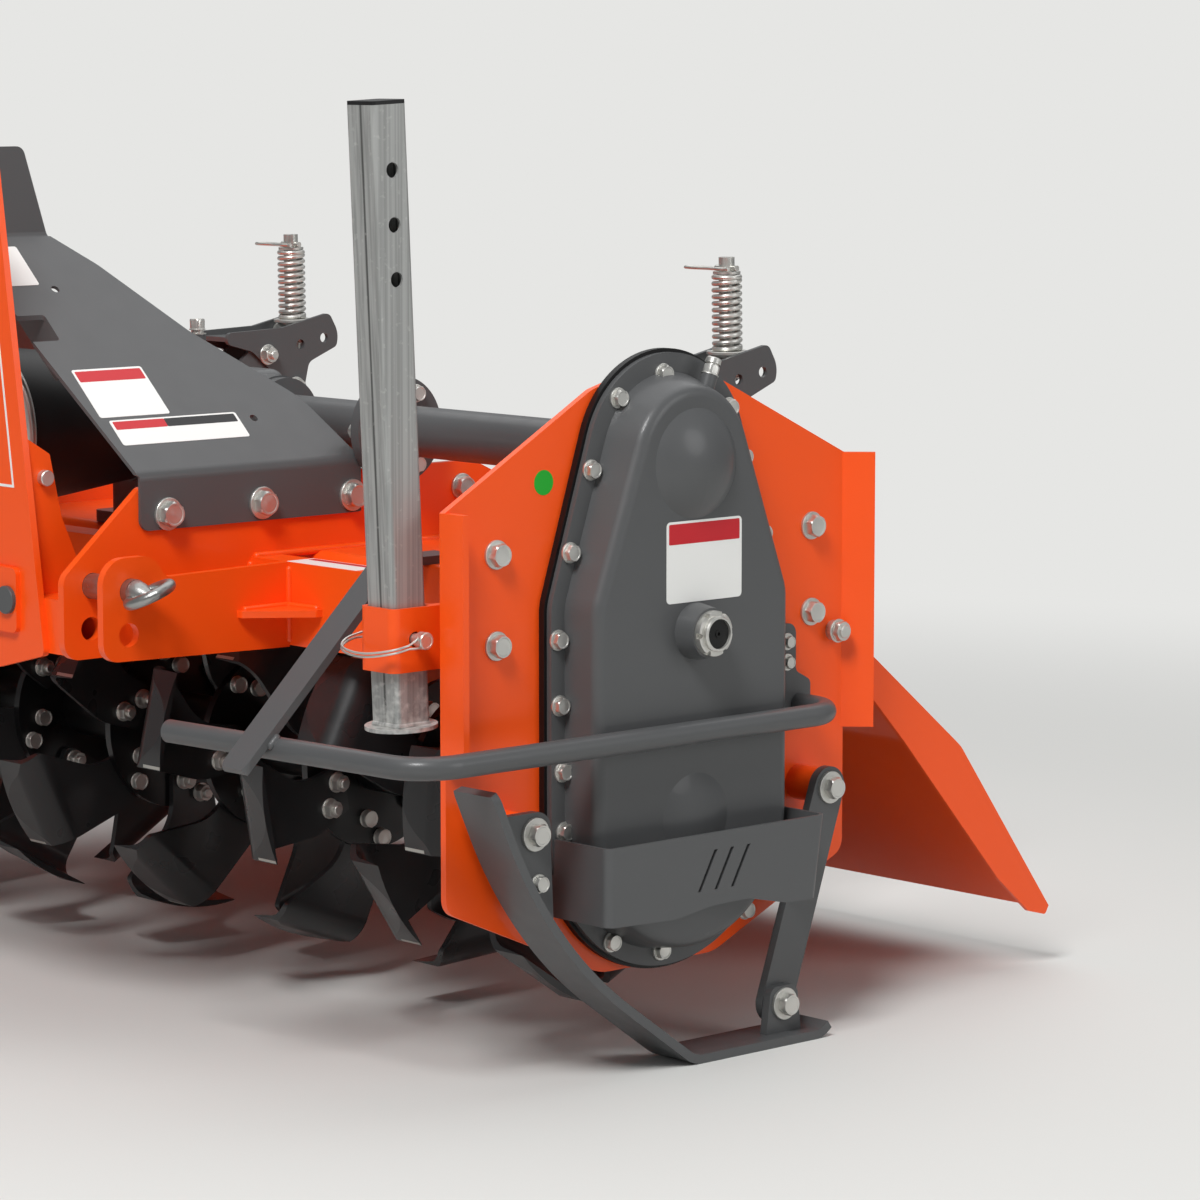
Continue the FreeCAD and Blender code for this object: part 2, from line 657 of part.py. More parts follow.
def front_beam():
    """Front beam with the two seats of the guard hoops' straps."""
    back = BEAM_FRONT + BEAM_DEPTH
    body = beam(BEAM_FRONT, BEAM_BOTTOM, BEAM_FRONT - FRONT_BEAM_FLANGE, back + BEAM_FLANGE_EDGE)
    top = BEAM_TOP + STRAP_SEAT
    face, foot = BEAM_FRONT - STRAP_SEAT_LIP, top - STRAP_SEAT_DEPTH
    rear = BEAM_FRONT + STRAP_REST
    profile = [(face, top, TINY_CORNER), (face, foot), (BEAM_FRONT, foot),
               (BEAM_FRONT, BEAM_TOP), (rear, BEAM_TOP), (rear, top)]
    low = STRAP_X + STRAP_SEAT_START
    seat = plate(profile, "yz", low, low + STRAP_SEAT_WIDE)
    return fused(body, seat, on_side(seat, RIGHT))


def rear_beam():
    """Rear beam with a lip that closes the gap to the tailgate's hinge."""
    back = REAR_BEAM_Y + BEAM_DEPTH
    body = beam(REAR_BEAM_Y, REAR_BEAM_BOTTOM, REAR_BEAM_Y + BEAM_FLANGE_EDGE, back + REAR_BEAM_FLANGE)
    end = INNER - BEAM_FLANGE
    lip = box((-end, end), (back, HINGE_Y - HINGE_TUBE - HINGE_LIP_GAP),
              (REAR_BEAM_BOTTOM, REAR_BEAM_BOTTOM + DECK))
    return fused(body, lip)


def deck():
    """Folded sheet over the rotor, from one beam to the other."""
    front = BEAM_FRONT + BEAM_DEPTH
    path = [(front, DECK_LOW), (front + DECK_RAMP, BEAM_TOP, DECK_BEND),
            (REAR_BEAM_Y - DECK_RAMP, BEAM_TOP, DECK_BEND), (REAR_BEAM_Y, DECK_LOW)]
    sheet = bent_sheet(path, -DECK, "yz", -INNER, INNER)
    notch = box((INNER - BEAM_FLANGE, INNER), (BEAM_FRONT, front + BEAM_FLANGE_EDGE),
                (BEAM_BOTTOM, BEAM_FLANGE_TOP))
    for side in (LEFT, RIGHT):
        sheet = sheet.cut(on_side(notch, side))
    keep = box((-INNER, INNER), (front, REAR_BEAM_Y), (BEAM_BOTTOM, BEAM_TOP))
    return sheet.common(keep)


def drill_hitch(body, low, high):
    """The hitch pin's hole and the spare hole under it."""
    pin = cross_rod(low - PAST, high + PAST, PIN_Y, PIN_Z, PIN_RADIUS + PIN_FIT)
    spare = cross_rod(low - PAST, high + PAST, SPARE_HOLE_Y, SPARE_HOLE_Z, SPARE_HOLE)
    return body.cut(pin).cut(spare)


def cradle_plate():
    """Left upright plate that carries the hitch, the gearbox and the guard plate."""
    back = REAR_BEAM_Y + BEAM_DEPTH
    inside = CRADLE_X - CRADLE
    body = plate([(CRADLE_FRONT, CRADLE_FOOT, LARGE_CORNER),
                  (CRADLE_FRONT, CRADLE_NOSE_TOP, LARGE_CORNER),
                  (CRADLE_STEP, CRADLE_TOP, CORNER), (back - CRADLE_SLOPE, CRADLE_TOP, CORNER),
                  (back, CRADLE_REAR_TOP, CORNER), (back, BEAM_TOP), (BEAM_FRONT, BEAM_TOP),
                  (BEAM_FRONT, CRADLE_FOOT)], "yz", inside, CRADLE_X)
    return drill_hitch(body, inside, CRADLE_X)


def clevis_plate():
    """Left outer clevis plate with its gusset against the front beam."""
    inside = CLEVIS_X - CLEVIS
    nose, neck, head = PIN_Y - CLEVIS_HEAD, PIN_Y + CLEVIS_HEAD, PIN_Z + CLEVIS_HEAD
    body = plate([(nose, CLEVIS_FOOT, LARGE_CORNER), (nose, head, WIDE_CORNER),
                  (neck, head, WIDE_CORNER), (neck + SMALL_CORNER, PIN_Z + CORNER, CORNER),
                  (BEAM_FRONT, BEAM_TOP), (BEAM_FRONT, CRADLE_FOOT)], "yz", inside, CLEVIS_X)
    front, edge = BEAM_FRONT - GUSSET_DEPTH, CLEVIS_X + GUSSET_REACH
    gusset = plate([(CLEVIS_X, BEAM_FRONT), (CLEVIS_X, front),
                    (CLEVIS_X + SMALL_CORNER, front, TINY_CORNER),
                    (edge, BEAM_FRONT - SMALL_CORNER, TINY_CORNER), (edge, BEAM_FRONT)],
                   "xy", GUSSET_TOP - GUSSET, GUSSET_TOP)
    return fused(drill_hitch(body, inside, CLEVIS_X), gusset)


def hitch_pin():
    """Lower hitch pin with a loop handle outside the clevis."""
    end = CLEVIS_X + PIN_END
    shank = cross_rod(CRADLE_X - CRADLE - PIN_END, end, PIN_Y, PIN_Z, PIN_RADIUS)
    centre = Vector(end + HANDLE_RADIUS, PIN_Y, PIN_Z)
    loop = Part.makeTorus(HANDLE_RADIUS, HANDLE_WIRE, centre, Vector(*HANDLE_NORMAL))
    return fused(shank, loop)


def hitch_crossbar():
    """Bar that joins the cradle plates and the mast's legs."""
    front = MAST_FRONT + MAST_PLATE
    reach = CRADLE_X - CRADLE
    head = CROSSBAR_FOOT + CROSSBAR_HEIGHT
    body = box((-reach, reach), (front, front + CROSSBAR_DEPTH), (CROSSBAR_FOOT, head))
    core = box((-reach, reach), (front + CROSSBAR_WALL, front + CROSSBAR_DEPTH - CROSSBAR_WALL),
               (CROSSBAR_FOOT + CROSSBAR_WALL, head - CROSSBAR_WALL))
    return body.cut(core)


def mast_leg():
    """Left leg of the mast: a front plate with a short side plate and its pad."""
    back = MAST_FRONT + MAST_PLATE
    face = plate([(MAST_FOOT_IN, MAST_FOOT, SMALL_CORNER),
                  (MAST_FOOT_OUT, MAST_FOOT + MAST_FOOT_RISE, SMALL_CORNER),
                  (MAST_HEAD_OUT, MAST_HEAD_TOP, LARGE_CORNER),
                  (MAST_HEAD_IN, MAST_HEAD_TOP, LARGE_CORNER)], "xz", MAST_FRONT, back)
    foot = CROSSBAR_FOOT + CROSSBAR_HEIGHT
    wing = plate([(back, foot), (back + WING_FOOT_DEPTH, foot),
                  (back + WING_WAIST_DEPTH, foot + WING_WAIST, LARGE_CORNER),
                  (back + WING_SHOULDER_DEPTH, WING_TOP - WING_SHOULDER, TINY_CORNER),
                  (back, WING_TOP)], "yz", WING_X, WING_X + MAST_PLATE)
    corners = [(x, z, SMALL_CORNER) for x, z in (
        (MAST_PAD_IN, MAST_PAD_FOOT), (MAST_PAD_OUT, MAST_PAD_FOOT),
        (MAST_PAD_OUT, MAST_PAD_TOP), (MAST_PAD_IN, MAST_PAD_TOP))]
    pad = plate(corners, "xz", MAST_FRONT - MAST_PAD, MAST_FRONT)
    return fused(face, wing, pad)


def mast_head():
    """Cross plate and the two top link lugs, which run back to the guard plates."""
    back = MAST_FRONT + MAST_PLATE
    foot = TOP_PIN_Z - TOP_CROSS_FOOT
    cross = box((-TOP_CROSS_HALF, TOP_CROSS_HALF), (back, back + MAST_PLATE),
                (foot, TOP_PIN_Z - TOP_CROSS_HEAD))
    nose, crest = TOP_PIN_Y - TOP_LUG_NOSE, TOP_PIN_Z + TOP_LUG_NOSE
    ledge = TOP_PIN_Z - TOP_LUG_DROP
    lug = plate([(nose, TOP_PIN_Z - TOP_LUG_NOSE, LARGE_CORNER), (nose, crest, LARGE_CORNER),
                 (back, crest, LARGE_CORNER), (TOP_LUG_STEP, ledge, LARGE_CORNER),
                 (TOP_LUG_REAR, ledge, CORNER), (TOP_LUG_REAR, foot, CORNER),
                 (back, foot - LARGE_CORNER, LARGE_CORNER),
                 (MAST_FRONT, TOP_PIN_Z - SWEPT_CORNER, SMALL_CORNER)],
                "yz", TOP_LUG_GAP / 2, TOP_LUG_GAP / 2 + TOP_LUG)
    body = fused(cross, lug, on_side(lug, RIGHT))
    reach = TOP_LUG_GAP / 2 + TOP_LUG + PAST
    return body.cut(cross_rod(-reach, reach, TOP_PIN_Y, TOP_PIN_Z, TOP_PIN_RADIUS + PIN_FIT))


def cover_height(x):
    """Height of a guard plate's slope, on its underside, at a place across the machine."""
    return COVER_BEND_Z + (CRADLE_X - x) * (COVER_TAB_Z - COVER_BEND_Z) / (CRADLE_X - COVER_TAB_X)


def guard_cover():
    """Left sloping guard plate: foot flange, slope, upright tab and the rib behind its notch."""
    edge = CRADLE_X + LARGE_CORNER
    path = [(CRADLE_X, COVER_FOOT), (CRADLE_X, COVER_BEND_Z, COVER_BEND),
            (COVER_TAB_X, COVER_TAB_Z, COVER_BEND), (COVER_TAB_X, COVER_TAB_TOP)]
    sheet = bent_sheet(path, -COVER, "xz", 2 * COVER_UPPER_FRONT, PLATE_REAR)
    inside = COVER_TAB_X - COVER
    rear = [(x, y, SWEPT_CORNER) for x, y in COVER_EDGE]
    seen_from_above = plate([(edge, COVER_FRONT), (COVER_NOTCH_OUT, COVER_UPPER_FRONT),
                             (COVER_NOTCH_OUT, COVER_NOTCH_Y, TINY_CORNER),
                             (COVER_NOTCH_IN, COVER_NOTCH_Y, TINY_CORNER),
                             (COVER_NOTCH_IN, COVER_UPPER_FRONT), (inside, COVER_UPPER_FRONT),
                             (inside, COVER_TAB_REAR), *rear, (edge, COVER_FOOT_REAR)],
                            "xy", COVER_FOOT, COVER_TAB_TOP)
    before = 2 * COVER_FRONT
    seen_from_side = plate([(COVER_FRONT, COVER_FOOT, CORNER), (COVER_FRONT, COVER_BEND_Z),
                            (before, COVER_BEND_Z + WIDE_CORNER),
                            (before, COVER_TAB_Z - LARGE_CORNER),
                            (COVER_FRONT - LARGE_CORNER, COVER_TAB_Z),
                            (COVER_NOTCH_Y, COVER_TAB_TOP, SMALL_CORNER),
                            (COVER_TAB_TOP_REAR, COVER_TAB_TOP, CORNER),
                            (COVER_TAB_REAR + SMALL_CORNER, COVER_TAB_Z),
                            (PLATE_REAR, COVER_TAB_Z), (PLATE_REAR, COVER_BEND_Z),
                            (COVER_FOOT_REAR, COVER_BEND_Z),
                            (COVER_FOOT_REAR, COVER_FOOT, CORNER)], "yz", 0, edge)
    slope = Vector(COVER_TAB_X - CRADLE_X, 0, COVER_TAB_Z - COVER_BEND_Z).normalize()
    out = Vector(slope.z, 0, -slope.x)
    body = sheet.common(seen_from_above).common(seen_from_side)
    for x, y in COVER_HOLES:
        middle = Vector(x, y, cover_height(x))
        body = body.cut(rod(middle - out * CORNER, middle + out * CORNER, COVER_HOLE))
    head_in, head_out = cover_height(COVER_RIB_IN), cover_height(COVER_NOTCH_OUT)
    rib = plate([(COVER_RIB_IN, head_in), (COVER_NOTCH_OUT, head_out),
                 (COVER_NOTCH_OUT, head_out - COVER_RIB_DEPTH, SMALL_CORNER),
                 (COVER_RIB_IN, head_in - COVER_RIB_DEPTH, SMALL_CORNER)],
                "xz", COVER_NOTCH_Y, COVER_NOTCH_Y + COVER)
    return fused(body, rib)


def gearbox():
    """Centre gearbox: one heavy block with hubs, a nose and a foot."""
    half = GEARBOX_HALF_X
    body = box((-half, half), (GEARBOX_FRONT, GEARBOX_REAR), (BEAM_TOP, GEARBOX_TOP))
    sharp = [e for e in body.Edges if e.BoundBox.ZMin > BEAM_TOP + PAST
             or e.BoundBox.ZLength > GEARBOX_CORNER]
    body = body.makeFillet(GEARBOX_CORNER, sharp)
    reach = half + GEARBOX_FOOT_EDGE
    corners = [(x, y, CORNER) for x, y in ((-reach, GEARBOX_FRONT), (reach, GEARBOX_FRONT),
                                           (reach, GEARBOX_REAR + GEARBOX_FOOT_EDGE),
                                           (-reach, GEARBOX_REAR + GEARBOX_FOOT_EDGE))]
    foot = plate(corners, "xy", BEAM_TOP, BEAM_TOP + GEARBOX_FOOT)
    hubs = cross_rod(-GEARBOX_HUB, GEARBOX_HUB, ROTOR_Y, DRIVE_Z, GEARBOX_HUB_RADIUS)
    mouth = Vector(0, GEARBOX_NOSE, DRIVE_Z)
    nose = rod(mouth, Vector(0, GEARBOX_FRONT + GEARBOX_CORNER, DRIVE_Z), SHIELD_SMALL + NOSE_RIM)
    middle = (GEARBOX_FRONT + GEARBOX_REAR) / 2
    plug = rod(Vector(0, middle, GEARBOX_TOP - WELD),
               Vector(0, middle, GEARBOX_TOP + GEARBOX_PLUG), GEARBOX_PLUG_RADIUS)
    bore = rod(mouth, mouth + Vector(0, PTO_SEAT + STUB_END_GAP, 0),
               PTO_SEAT_RADIUS + RUNNING_FIT)
    return fused(body, foot, hubs, nose, plug).cut(bore)


def axle_tube():
    """Tube that carries the drive from the gearbox to the chain case, with its three flanges."""
    tube = cross_rod(GEARBOX_HUB, INNER, ROTOR_Y, DRIVE_Z, AXLE_TUBE_RADIUS)
    inner = cross_rod(GEARBOX_HUB, GEARBOX_HUB + AXLE_FLANGE, ROTOR_Y, DRIVE_Z, AXLE_FLANGE_RADIUS)
    joint = CRADLE_X + COVER + AXLE_JOINT_GAP
    middle = cross_rod(joint, joint + AXLE_FLANGE, ROTOR_Y, DRIVE_Z, AXLE_END_RADIUS)
    outer = cross_rod(INNER - AXLE_FLANGE, INNER, ROTOR_Y, DRIVE_Z, AXLE_END_RADIUS)
    return fused(tube, inner, middle, outer)


def pto_shaft():
    """Input shaft, its splines left plain, with a thicker seat inside the gearbox."""
    mouth = Vector(0, GEARBOX_NOSE, DRIVE_Z)
    free = rod(Vector(0, PTO_FRONT, DRIVE_Z), mouth, PTO_RADIUS)
    seat = rod(mouth, mouth + Vector(0, PTO_SEAT, 0), PTO_SEAT_RADIUS)
    return fused(free, seat)


def pto_shield():
    """Open bell round the input shaft."""
    length = GEARBOX_NOSE - SHIELD_FRONT
    start = Vector(0, SHIELD_FRONT, DRIVE_Z)
    way = Vector(0, 1, 0)
    outer = Part.makeCone(SHIELD_MOUTH, SHIELD_SMALL, length, start, way)
    inner = Part.makeCone(SHIELD_MOUTH - SHIELD_WALL, SHIELD_SMALL - SHIELD_WALL, length, start, way)
    return outer.cut(inner)


def guard_ring():
    """Round wire ring at the shield's mouth."""
    centre = Vector(0, SHIELD_FRONT - RING_WIRE - RING_GAP, DRIVE_Z)
    return Part.makeTorus(SHIELD_MOUTH - SHIELD_WALL / 2, RING_WIRE, centre, Vector(0, 1, 0))


def flange_places():
    """Where the tine flanges stand along the rotor."""
    first = SHAFT_END - FLANGE_EDGE
    pitch = 2 * first / (FLANGE_COUNT - 1)
    return [pitch * i - first for i in range(FLANGE_COUNT)]


def rotor_shaft():
    """Rotor tube with its stub shafts and tine flanges."""
    plug = SHAFT_END - SHAFT_PLUG
    tube = cross_rod(-SHAFT_END, SHAFT_END, ROTOR_Y, ROTOR_Z, SHAFT_RADIUS)
    hollow = cross_rod(-plug, plug, ROTOR_Y, ROTOR_Z, SHAFT_RADIUS - SHAFT_WALL)
    stub = cross_rod(-STUB_END, STUB_END, ROTOR_Y, ROTOR_Z, STUB_RADIUS)
    half = FLANGE_THICK / 2
    flanges = [cross_rod(x - half, x + half, ROTOR_Y, ROTOR_Z, FLANGE_RADIUS) for x in flange_places()]
    return fused(tube, stub, *flanges).cut(hollow)


def tine():
    """One curved tine standing up from the rotor's axis, its blade bent towards +X."""
    seat = FLANGE_THICK / 2
    path = [(seat, TINE_ROOT), (seat, TIP_RADIUS - TINE_THICK, TINE_BEND), (TINE_REACH, TIP_RADIUS)]
    strip = bent_sheet(path, -TINE_THICK, "xz", -TIP_RADIUS, TIP_RADIUS)
    strip.rotate(Vector(0, 0, 0), ACROSS, -TINE_LEAN)
    low = TINE_ROOT * cos(radians(TINE_LEAN)) + PAST
    curve = plate([(-TINE_HALF_ROOT, low, SMALL_CORNER), (TINE_HALF_ROOT, low, SMALL_CORNER),
                   (TINE_NECK_BACK, TINE_NECK, SWEPT_CORNER), (TINE_TIP_BACK, TINE_HEEL, SMALL_CORNER),
                   (TINE_TIP_BACK, 2 * TIP_RADIUS), (TINE_TIP_FRONT, 2 * TIP_RADIUS),
                   (TINE_TIP_FRONT, TIP_RADIUS, SWEPT_CORNER), (TINE_NECK_FRONT, TINE_NECK, SWEPT_CORNER)],
                  "yz", 0, TINE_REACH)
    swept = cross_rod(0, TINE_REACH, 0, 0, TIP_RADIUS)
    return strip.common(curve).common(swept)


def tines(side):
    """All tines whose blades point to one side."""
    first = on_side(tine(), side)
    step = 360.0 / TINES_A_SIDE
    offset = 0.0 if side == LEFT else step / 2
    pieces = []
    for i, x in enumerate(flange_places()):
        for j in range(TINES_A_SIDE):
            piece = first.copy()
            piece.rotate(Vector(0, 0, 0), ACROSS, i * FLANGE_TWIST + j * step + offset)
            piece.translate(Vector(x, ROTOR_Y, ROTOR_Z))
            pieces.append(piece)
    return Part.makeCompound(pieces)


def tailgate():
    """Hinged rear sheet with side flanges, hinge tube and the lugs of its lift rods."""
    top = (HINGE_Y + TINY_CORNER, HINGE_Z + HINGE_TUBE - PAST)
    tip = GATE_KNEES[-1]
    bends = [(y, z, GATE_BEND) for y, z in GATE_KNEES[:-1]]
    sheet = bent_sheet([top, *bends, tip], -GATE_SHEET, "yz", -GATE_HALF, GATE_HALF)
    tube = cross_rod(-GATE_HALF, GATE_HALF, HINGE_Y, HINGE_Z, HINGE_TUBE)
    inner_edge = [(y, z, LARGE_CORNER) for y, z in GATE_FLANGE[:3]]
    lip = [(y, z, TINY_CORNER) for y, z in GATE_FLANGE[3:]]
    edge = [(HINGE_Y + TINY_CORNER, HINGE_Z - HINGE_PIN), *inner_edge, *lip, tip, *reversed(bends), top]
    flange = plate(edge, "yz", GATE_HALF - GATE_SHEET, GATE_HALF)
    lug = [(ROD_EYE_Y - LUG_FRONT, ROD_EYE_Z + LUG_RISE, TINY_CORNER),
           (ROD_EYE_Y - LUG_REAR, ROD_EYE_Z + LUG_REAR, CORNER),
           (ROD_EYE_Y + LUG_REAR, ROD_EYE_Z + LUG_REAR, CORNER),
           (ROD_EYE_Y + LUG_REAR, ROD_EYE_Z - LUG_FOOT), (ROD_EYE_Y, ROD_EYE_Z - LUG_FOOT)]
    near = ROD_RADIUS + LUG_PLAY
    reach = near + LUG + EYE_PIN_TIP
    pieces = [flange, cross_rod(ROD_X - reach, ROD_X + reach, ROD_EYE_Y, ROD_EYE_Z, EYE_PIN)]
    pieces.append(plate(lug, "yz", ROD_X + near, ROD_X + near + LUG))
    pieces.append(plate(lug, "yz", ROD_X - near - LUG, ROD_X - near))
    both = [on_side(piece, side) for piece in pieces for side in (LEFT, RIGHT)]
    bore = cross_rod(-GATE_HALF, GATE_HALF, HINGE_Y, HINGE_Z, HINGE_PIN + HINGE_FIT)
    return fused(sheet, tube, *both).cut(bore)


def hinge_pin():
    """Left hinge bolt of the tailgate, with its nut outside."""
    shank = cross_rod(GATE_HALF - HINGE_PIN_REACH, HALF_WIDTH + HINGE_PIN_END, HINGE_Y, HINGE_Z, HINGE_PIN)
    nut = cross_rod(HALF_WIDTH, HALF_WIDTH + HINGE_NUT_DEPTH, HINGE_Y, HINGE_Z, HINGE_NUT)
    return fused(shank, nut)


def rod_way():
    """Unit direction of a lift rod, from its eye up through the swivel."""
    return Vector(0, SWIVEL_Y - ROD_EYE_Y, SWIVEL_Z - ROD_EYE_Z).normalize()


def lift_rod():
    """Left lift rod: eye, round bar, and the washer and pin over the spring."""
    eye = Vector(ROD_X, *ROD_EYE)
    swivel_centre = Vector(ROD_X, *SWIVEL)
    way = rod_way()
    ring = rod(eye - ACROSS * EYE_HALF, eye + ACROSS * EYE_HALF, EYE_RADIUS)
    bar = rod(eye + way * EYE_HALF, eye + way * ((ROD_TOP - ROD_EYE_Z) / way.z), ROD_RADIUS)
    catch = swivel_centre + way * (SWIVEL_RADIUS + WASHER + SPRING_LENGTH)
    over = Part.makeCylinder(CATCH_RADIUS, CATCH, catch, way)
    middle = catch + way * CATCH_PIN_RISE
    pin = rod(middle - ACROSS * CATCH_PIN_HALF, middle + ACROSS * CATCH_PIN_HALF, CATCH_PIN)
    hole = rod(eye - ACROSS * (EYE_HALF + PAST), eye + ACROSS * (EYE_HALF + PAST), EYE_PIN + PIN_FIT)
    return fused(ring, bar, over, pin).cut(hole)


def swivel():
    """Left swivel: rocker block, washer and the spring that sits on it."""
    centre = Vector(ROD_X, *SWIVEL)
    way = rod_way()
    reach = ACROSS * (ARM_HALF_GAP - SWIVEL_END_GAP)
    rocker = rod(centre - reach, centre + reach, SWIVEL_RADIUS)
    stem = Part.makeCylinder(SWIVEL_RADIUS - PAST, SWIVEL_RADIUS, centre, way)
    top = centre + way * SWIVEL_RADIUS
    washer = Part.makeCylinder(WASHER_RADIUS, WASHER, top, way)
    bore_radius = ROD_RADIUS + SWIVEL_PLAY
    coil = Part.makeCylinder(bore_radius + SPRING_WIRE, SPRING_LENGTH - SPRING_GAP, top + way * WASHER, way)
    bore = rod(centre - way * WASHER_RADIUS, centre + way * (2 * SPRING_LENGTH), bore_radius)
    return fused(rocker, stem, washer, coil).cut(bore)


def spring_arm():
    """Left arm for the lift rod: two plates, the floor between them and their posts."""
    back = REAR_BEAM_Y + BEAM_DEPTH
    cheek = [(SWIVEL_Y + y, SWIVEL_Z + z, r) for y, z, r in ARM_CHEEK]
    brace = [(SWIVEL_Y + y, SWIVEL_Z + z, r) for y, z, r in ARM_POST]
    post = [(REAR_BEAM_Y, BEAM_TOP), (back, BEAM_TOP), *brace, (REAR_BEAM_Y, ARM_POST_TOP, LARGE_CORNER)]
    pieces = []
    for way in (-1, 1):
        for shape, near, far in ((cheek, ARM_HALF_GAP, ARM_HALF_GAP + ARM_PLATE),
                                 (post, ARM_HALF_GAP - ARM_PLATE, ARM_HALF_GAP)):
            low, high = sorted((ROD_X + way * near, ROD_X + way * far))
            pieces.append(plate(shape, "yz", low, high))
    low, high = ROD_X - ARM_HALF_GAP, ROD_X + ARM_HALF_GAP
    before, behind = ARM_FLOOR_REACH
    floor = box((low, high), (SWIVEL_Y - before, SWIVEL_Y + behind), (SWIVEL_Z - ARM_FLOOR, SWIVEL_Z))
    body = fused(floor, *pieces).cut(cross_rod(low, high, SWIVEL_Y, SWIVEL_Z, SWIVEL_RADIUS + PIN_FIT))
    edge = ARM_PLATE + PAST
    for y, z in SPARE_ROD_HOLES:
        body = body.cut(cross_rod(low - edge, high + edge, SWIVEL_Y + y, SWIVEL_Z + z, SPARE_ROD_HOLE))
    return body


def skid():
    """Left skid: bent flat bar with a front lug and a foot lug."""
    edge = SKID_X + SKID_WIDTH
    path = [SKID_TOP, (*SKID_KNEE, SKID_SWEEP), (SKID_HEEL, 0, SKID_BEND),
            (SKID_REAR, 0, WIDE_CORNER), SKID_TAIL]
    bar = bent_sheet(path, SKID_BAR, "yz", SKID_X, edge)
    top = SKID_TOP[1] + CORNER
    seen_from_front = plate([(SKID_X, -PAST), (edge, -PAST), (edge, top, LARGE_CORNER),
                             (SKID_X, top, LARGE_CORNER)],
                            "xz", 2 * SKID_TOP[0], SKID_TAIL[0] + PAST)
    back = SKID_FRONT_BOLT_Y + SKID_LUG_HEAD
    lug = plate([(back, SKID_BOLT_Z + SKID_LUG_HEAD, LARGE_CORNER),
                 (back, SKID_BOLT_Z - SKID_LUG_HEAD, LARGE_CORNER), SKID_LUG_TOE,
                 *SKID_LUG_ROOTS], "yz", SKID_LUG_X, SKID_LUG_X + SKID_LUG)
    head = SKID_FOOT_Z + SKID_FOOT_HEAD
    foot = plate([(SKID_FOOT_Y - SKID_FOOT_HALF, SMALL_CORNER),
                  (SKID_FOOT_Y + SKID_FOOT_HALF, SMALL_CORNER),
                  (SKID_FOOT_Y + SKID_FOOT_HEAD, head, CORNER),
                  (SKID_FOOT_Y - SKID_FOOT_HEAD, head, CORNER)],
                 "yz", SKID_LUG_X + SKID_LUG, SKID_LUG_X + 2 * SKID_LUG)
    return fused(bar.common(seen_from_front), lug, foot)


def skid_arm():
    """Left rear arm from the end plate's standoff down to the skid's foot lug."""
    circles = [(SKID_FOOT_Y, SKID_FOOT_Z, SKID_ARM_FOOT),
               (SKID_REAR_BOLT_Y, SKID_BOLT_Z, SKID_ARM_HEAD)]
    return belt(circles, "yz", SKID_LUG_X, SKID_LUG_X + SKID_LUG)


def guard_hoop():
    """Left guard hoop with its rear bracket and the strap up to the beam."""
    bolted = HALF_WIDTH + BRACKET
    start = STRAP_X - HOOP_START
    pipe = bent_pipe([(start, HOOP_FRONT, HOOP_Z, 0), (HOOP_SIDE, HOOP_CORNER, HOOP_Z, HOOP_BEND),
                      (HOOP_SIDE, HOOP_REAR, HOOP_Z, HOOP_BEND), (bolted, HOOP_REAR, HOOP_Z, 0)],
                     HOOP_RADIUS)
    bracket = plate([(BRACKET_FRONT, BRACKET_FOOT, SMALL_CORNER),
                     (BRACKET_HEEL, BRACKET_FOOT, SMALL_CORNER),
                     (BRACKET_HEEL, BRACKET_STEP, SMALL_CORNER),
                     (BRACKET_BACK, BRACKET_STEP + CORNER, SMALL_CORNER),
                     (BRACKET_BACK, BRACKET_TOP, CORNER),
                     (BRACKET_FRONT, BRACKET_TOP, CORNER)], "yz", HALF_WIDTH, bolted)
    low, high = STRAP_X - STRAP_WIDE / 2, STRAP_X + STRAP_WIDE / 2
    lean = radians(STRAP_LEAN)
    run = Vector(0, cos(lean), sin(lean))
    out = Vector(0, -sin(lean), cos(lean))
    crossing = HOOP_FRONT + (HOOP_CORNER - HOOP_FRONT) * HOOP_START / (HOOP_SIDE - start)
    under = Vector(0, crossing, HOOP_Z) + out * (HOOP_RADIUS - STRAP_OVERLAP)
    toe = under - run * STRAP_TOE
    level = BEAM_TOP + STRAP_SEAT
    knee = under + run * ((level - under.z) / run.z)
    end = BEAM_FRONT + STRAP_REST
    strap = bent_sheet([(toe.y, toe.z), (knee.y, knee.z, LARGE_CORNER), (end, level)],
                       STRAP_THICK, "yz", low, high)
    front = toe.y - STRAP_THICK
    ends = plate([(low, front, CORNER), (high, front, CORNER), (high, end), (low, end)],
                 "xy", HOOP_Z - 2 * STRAP_TOE, level + STRAP_THICK)
    return fused(pipe, bracket, strap.common(ends))


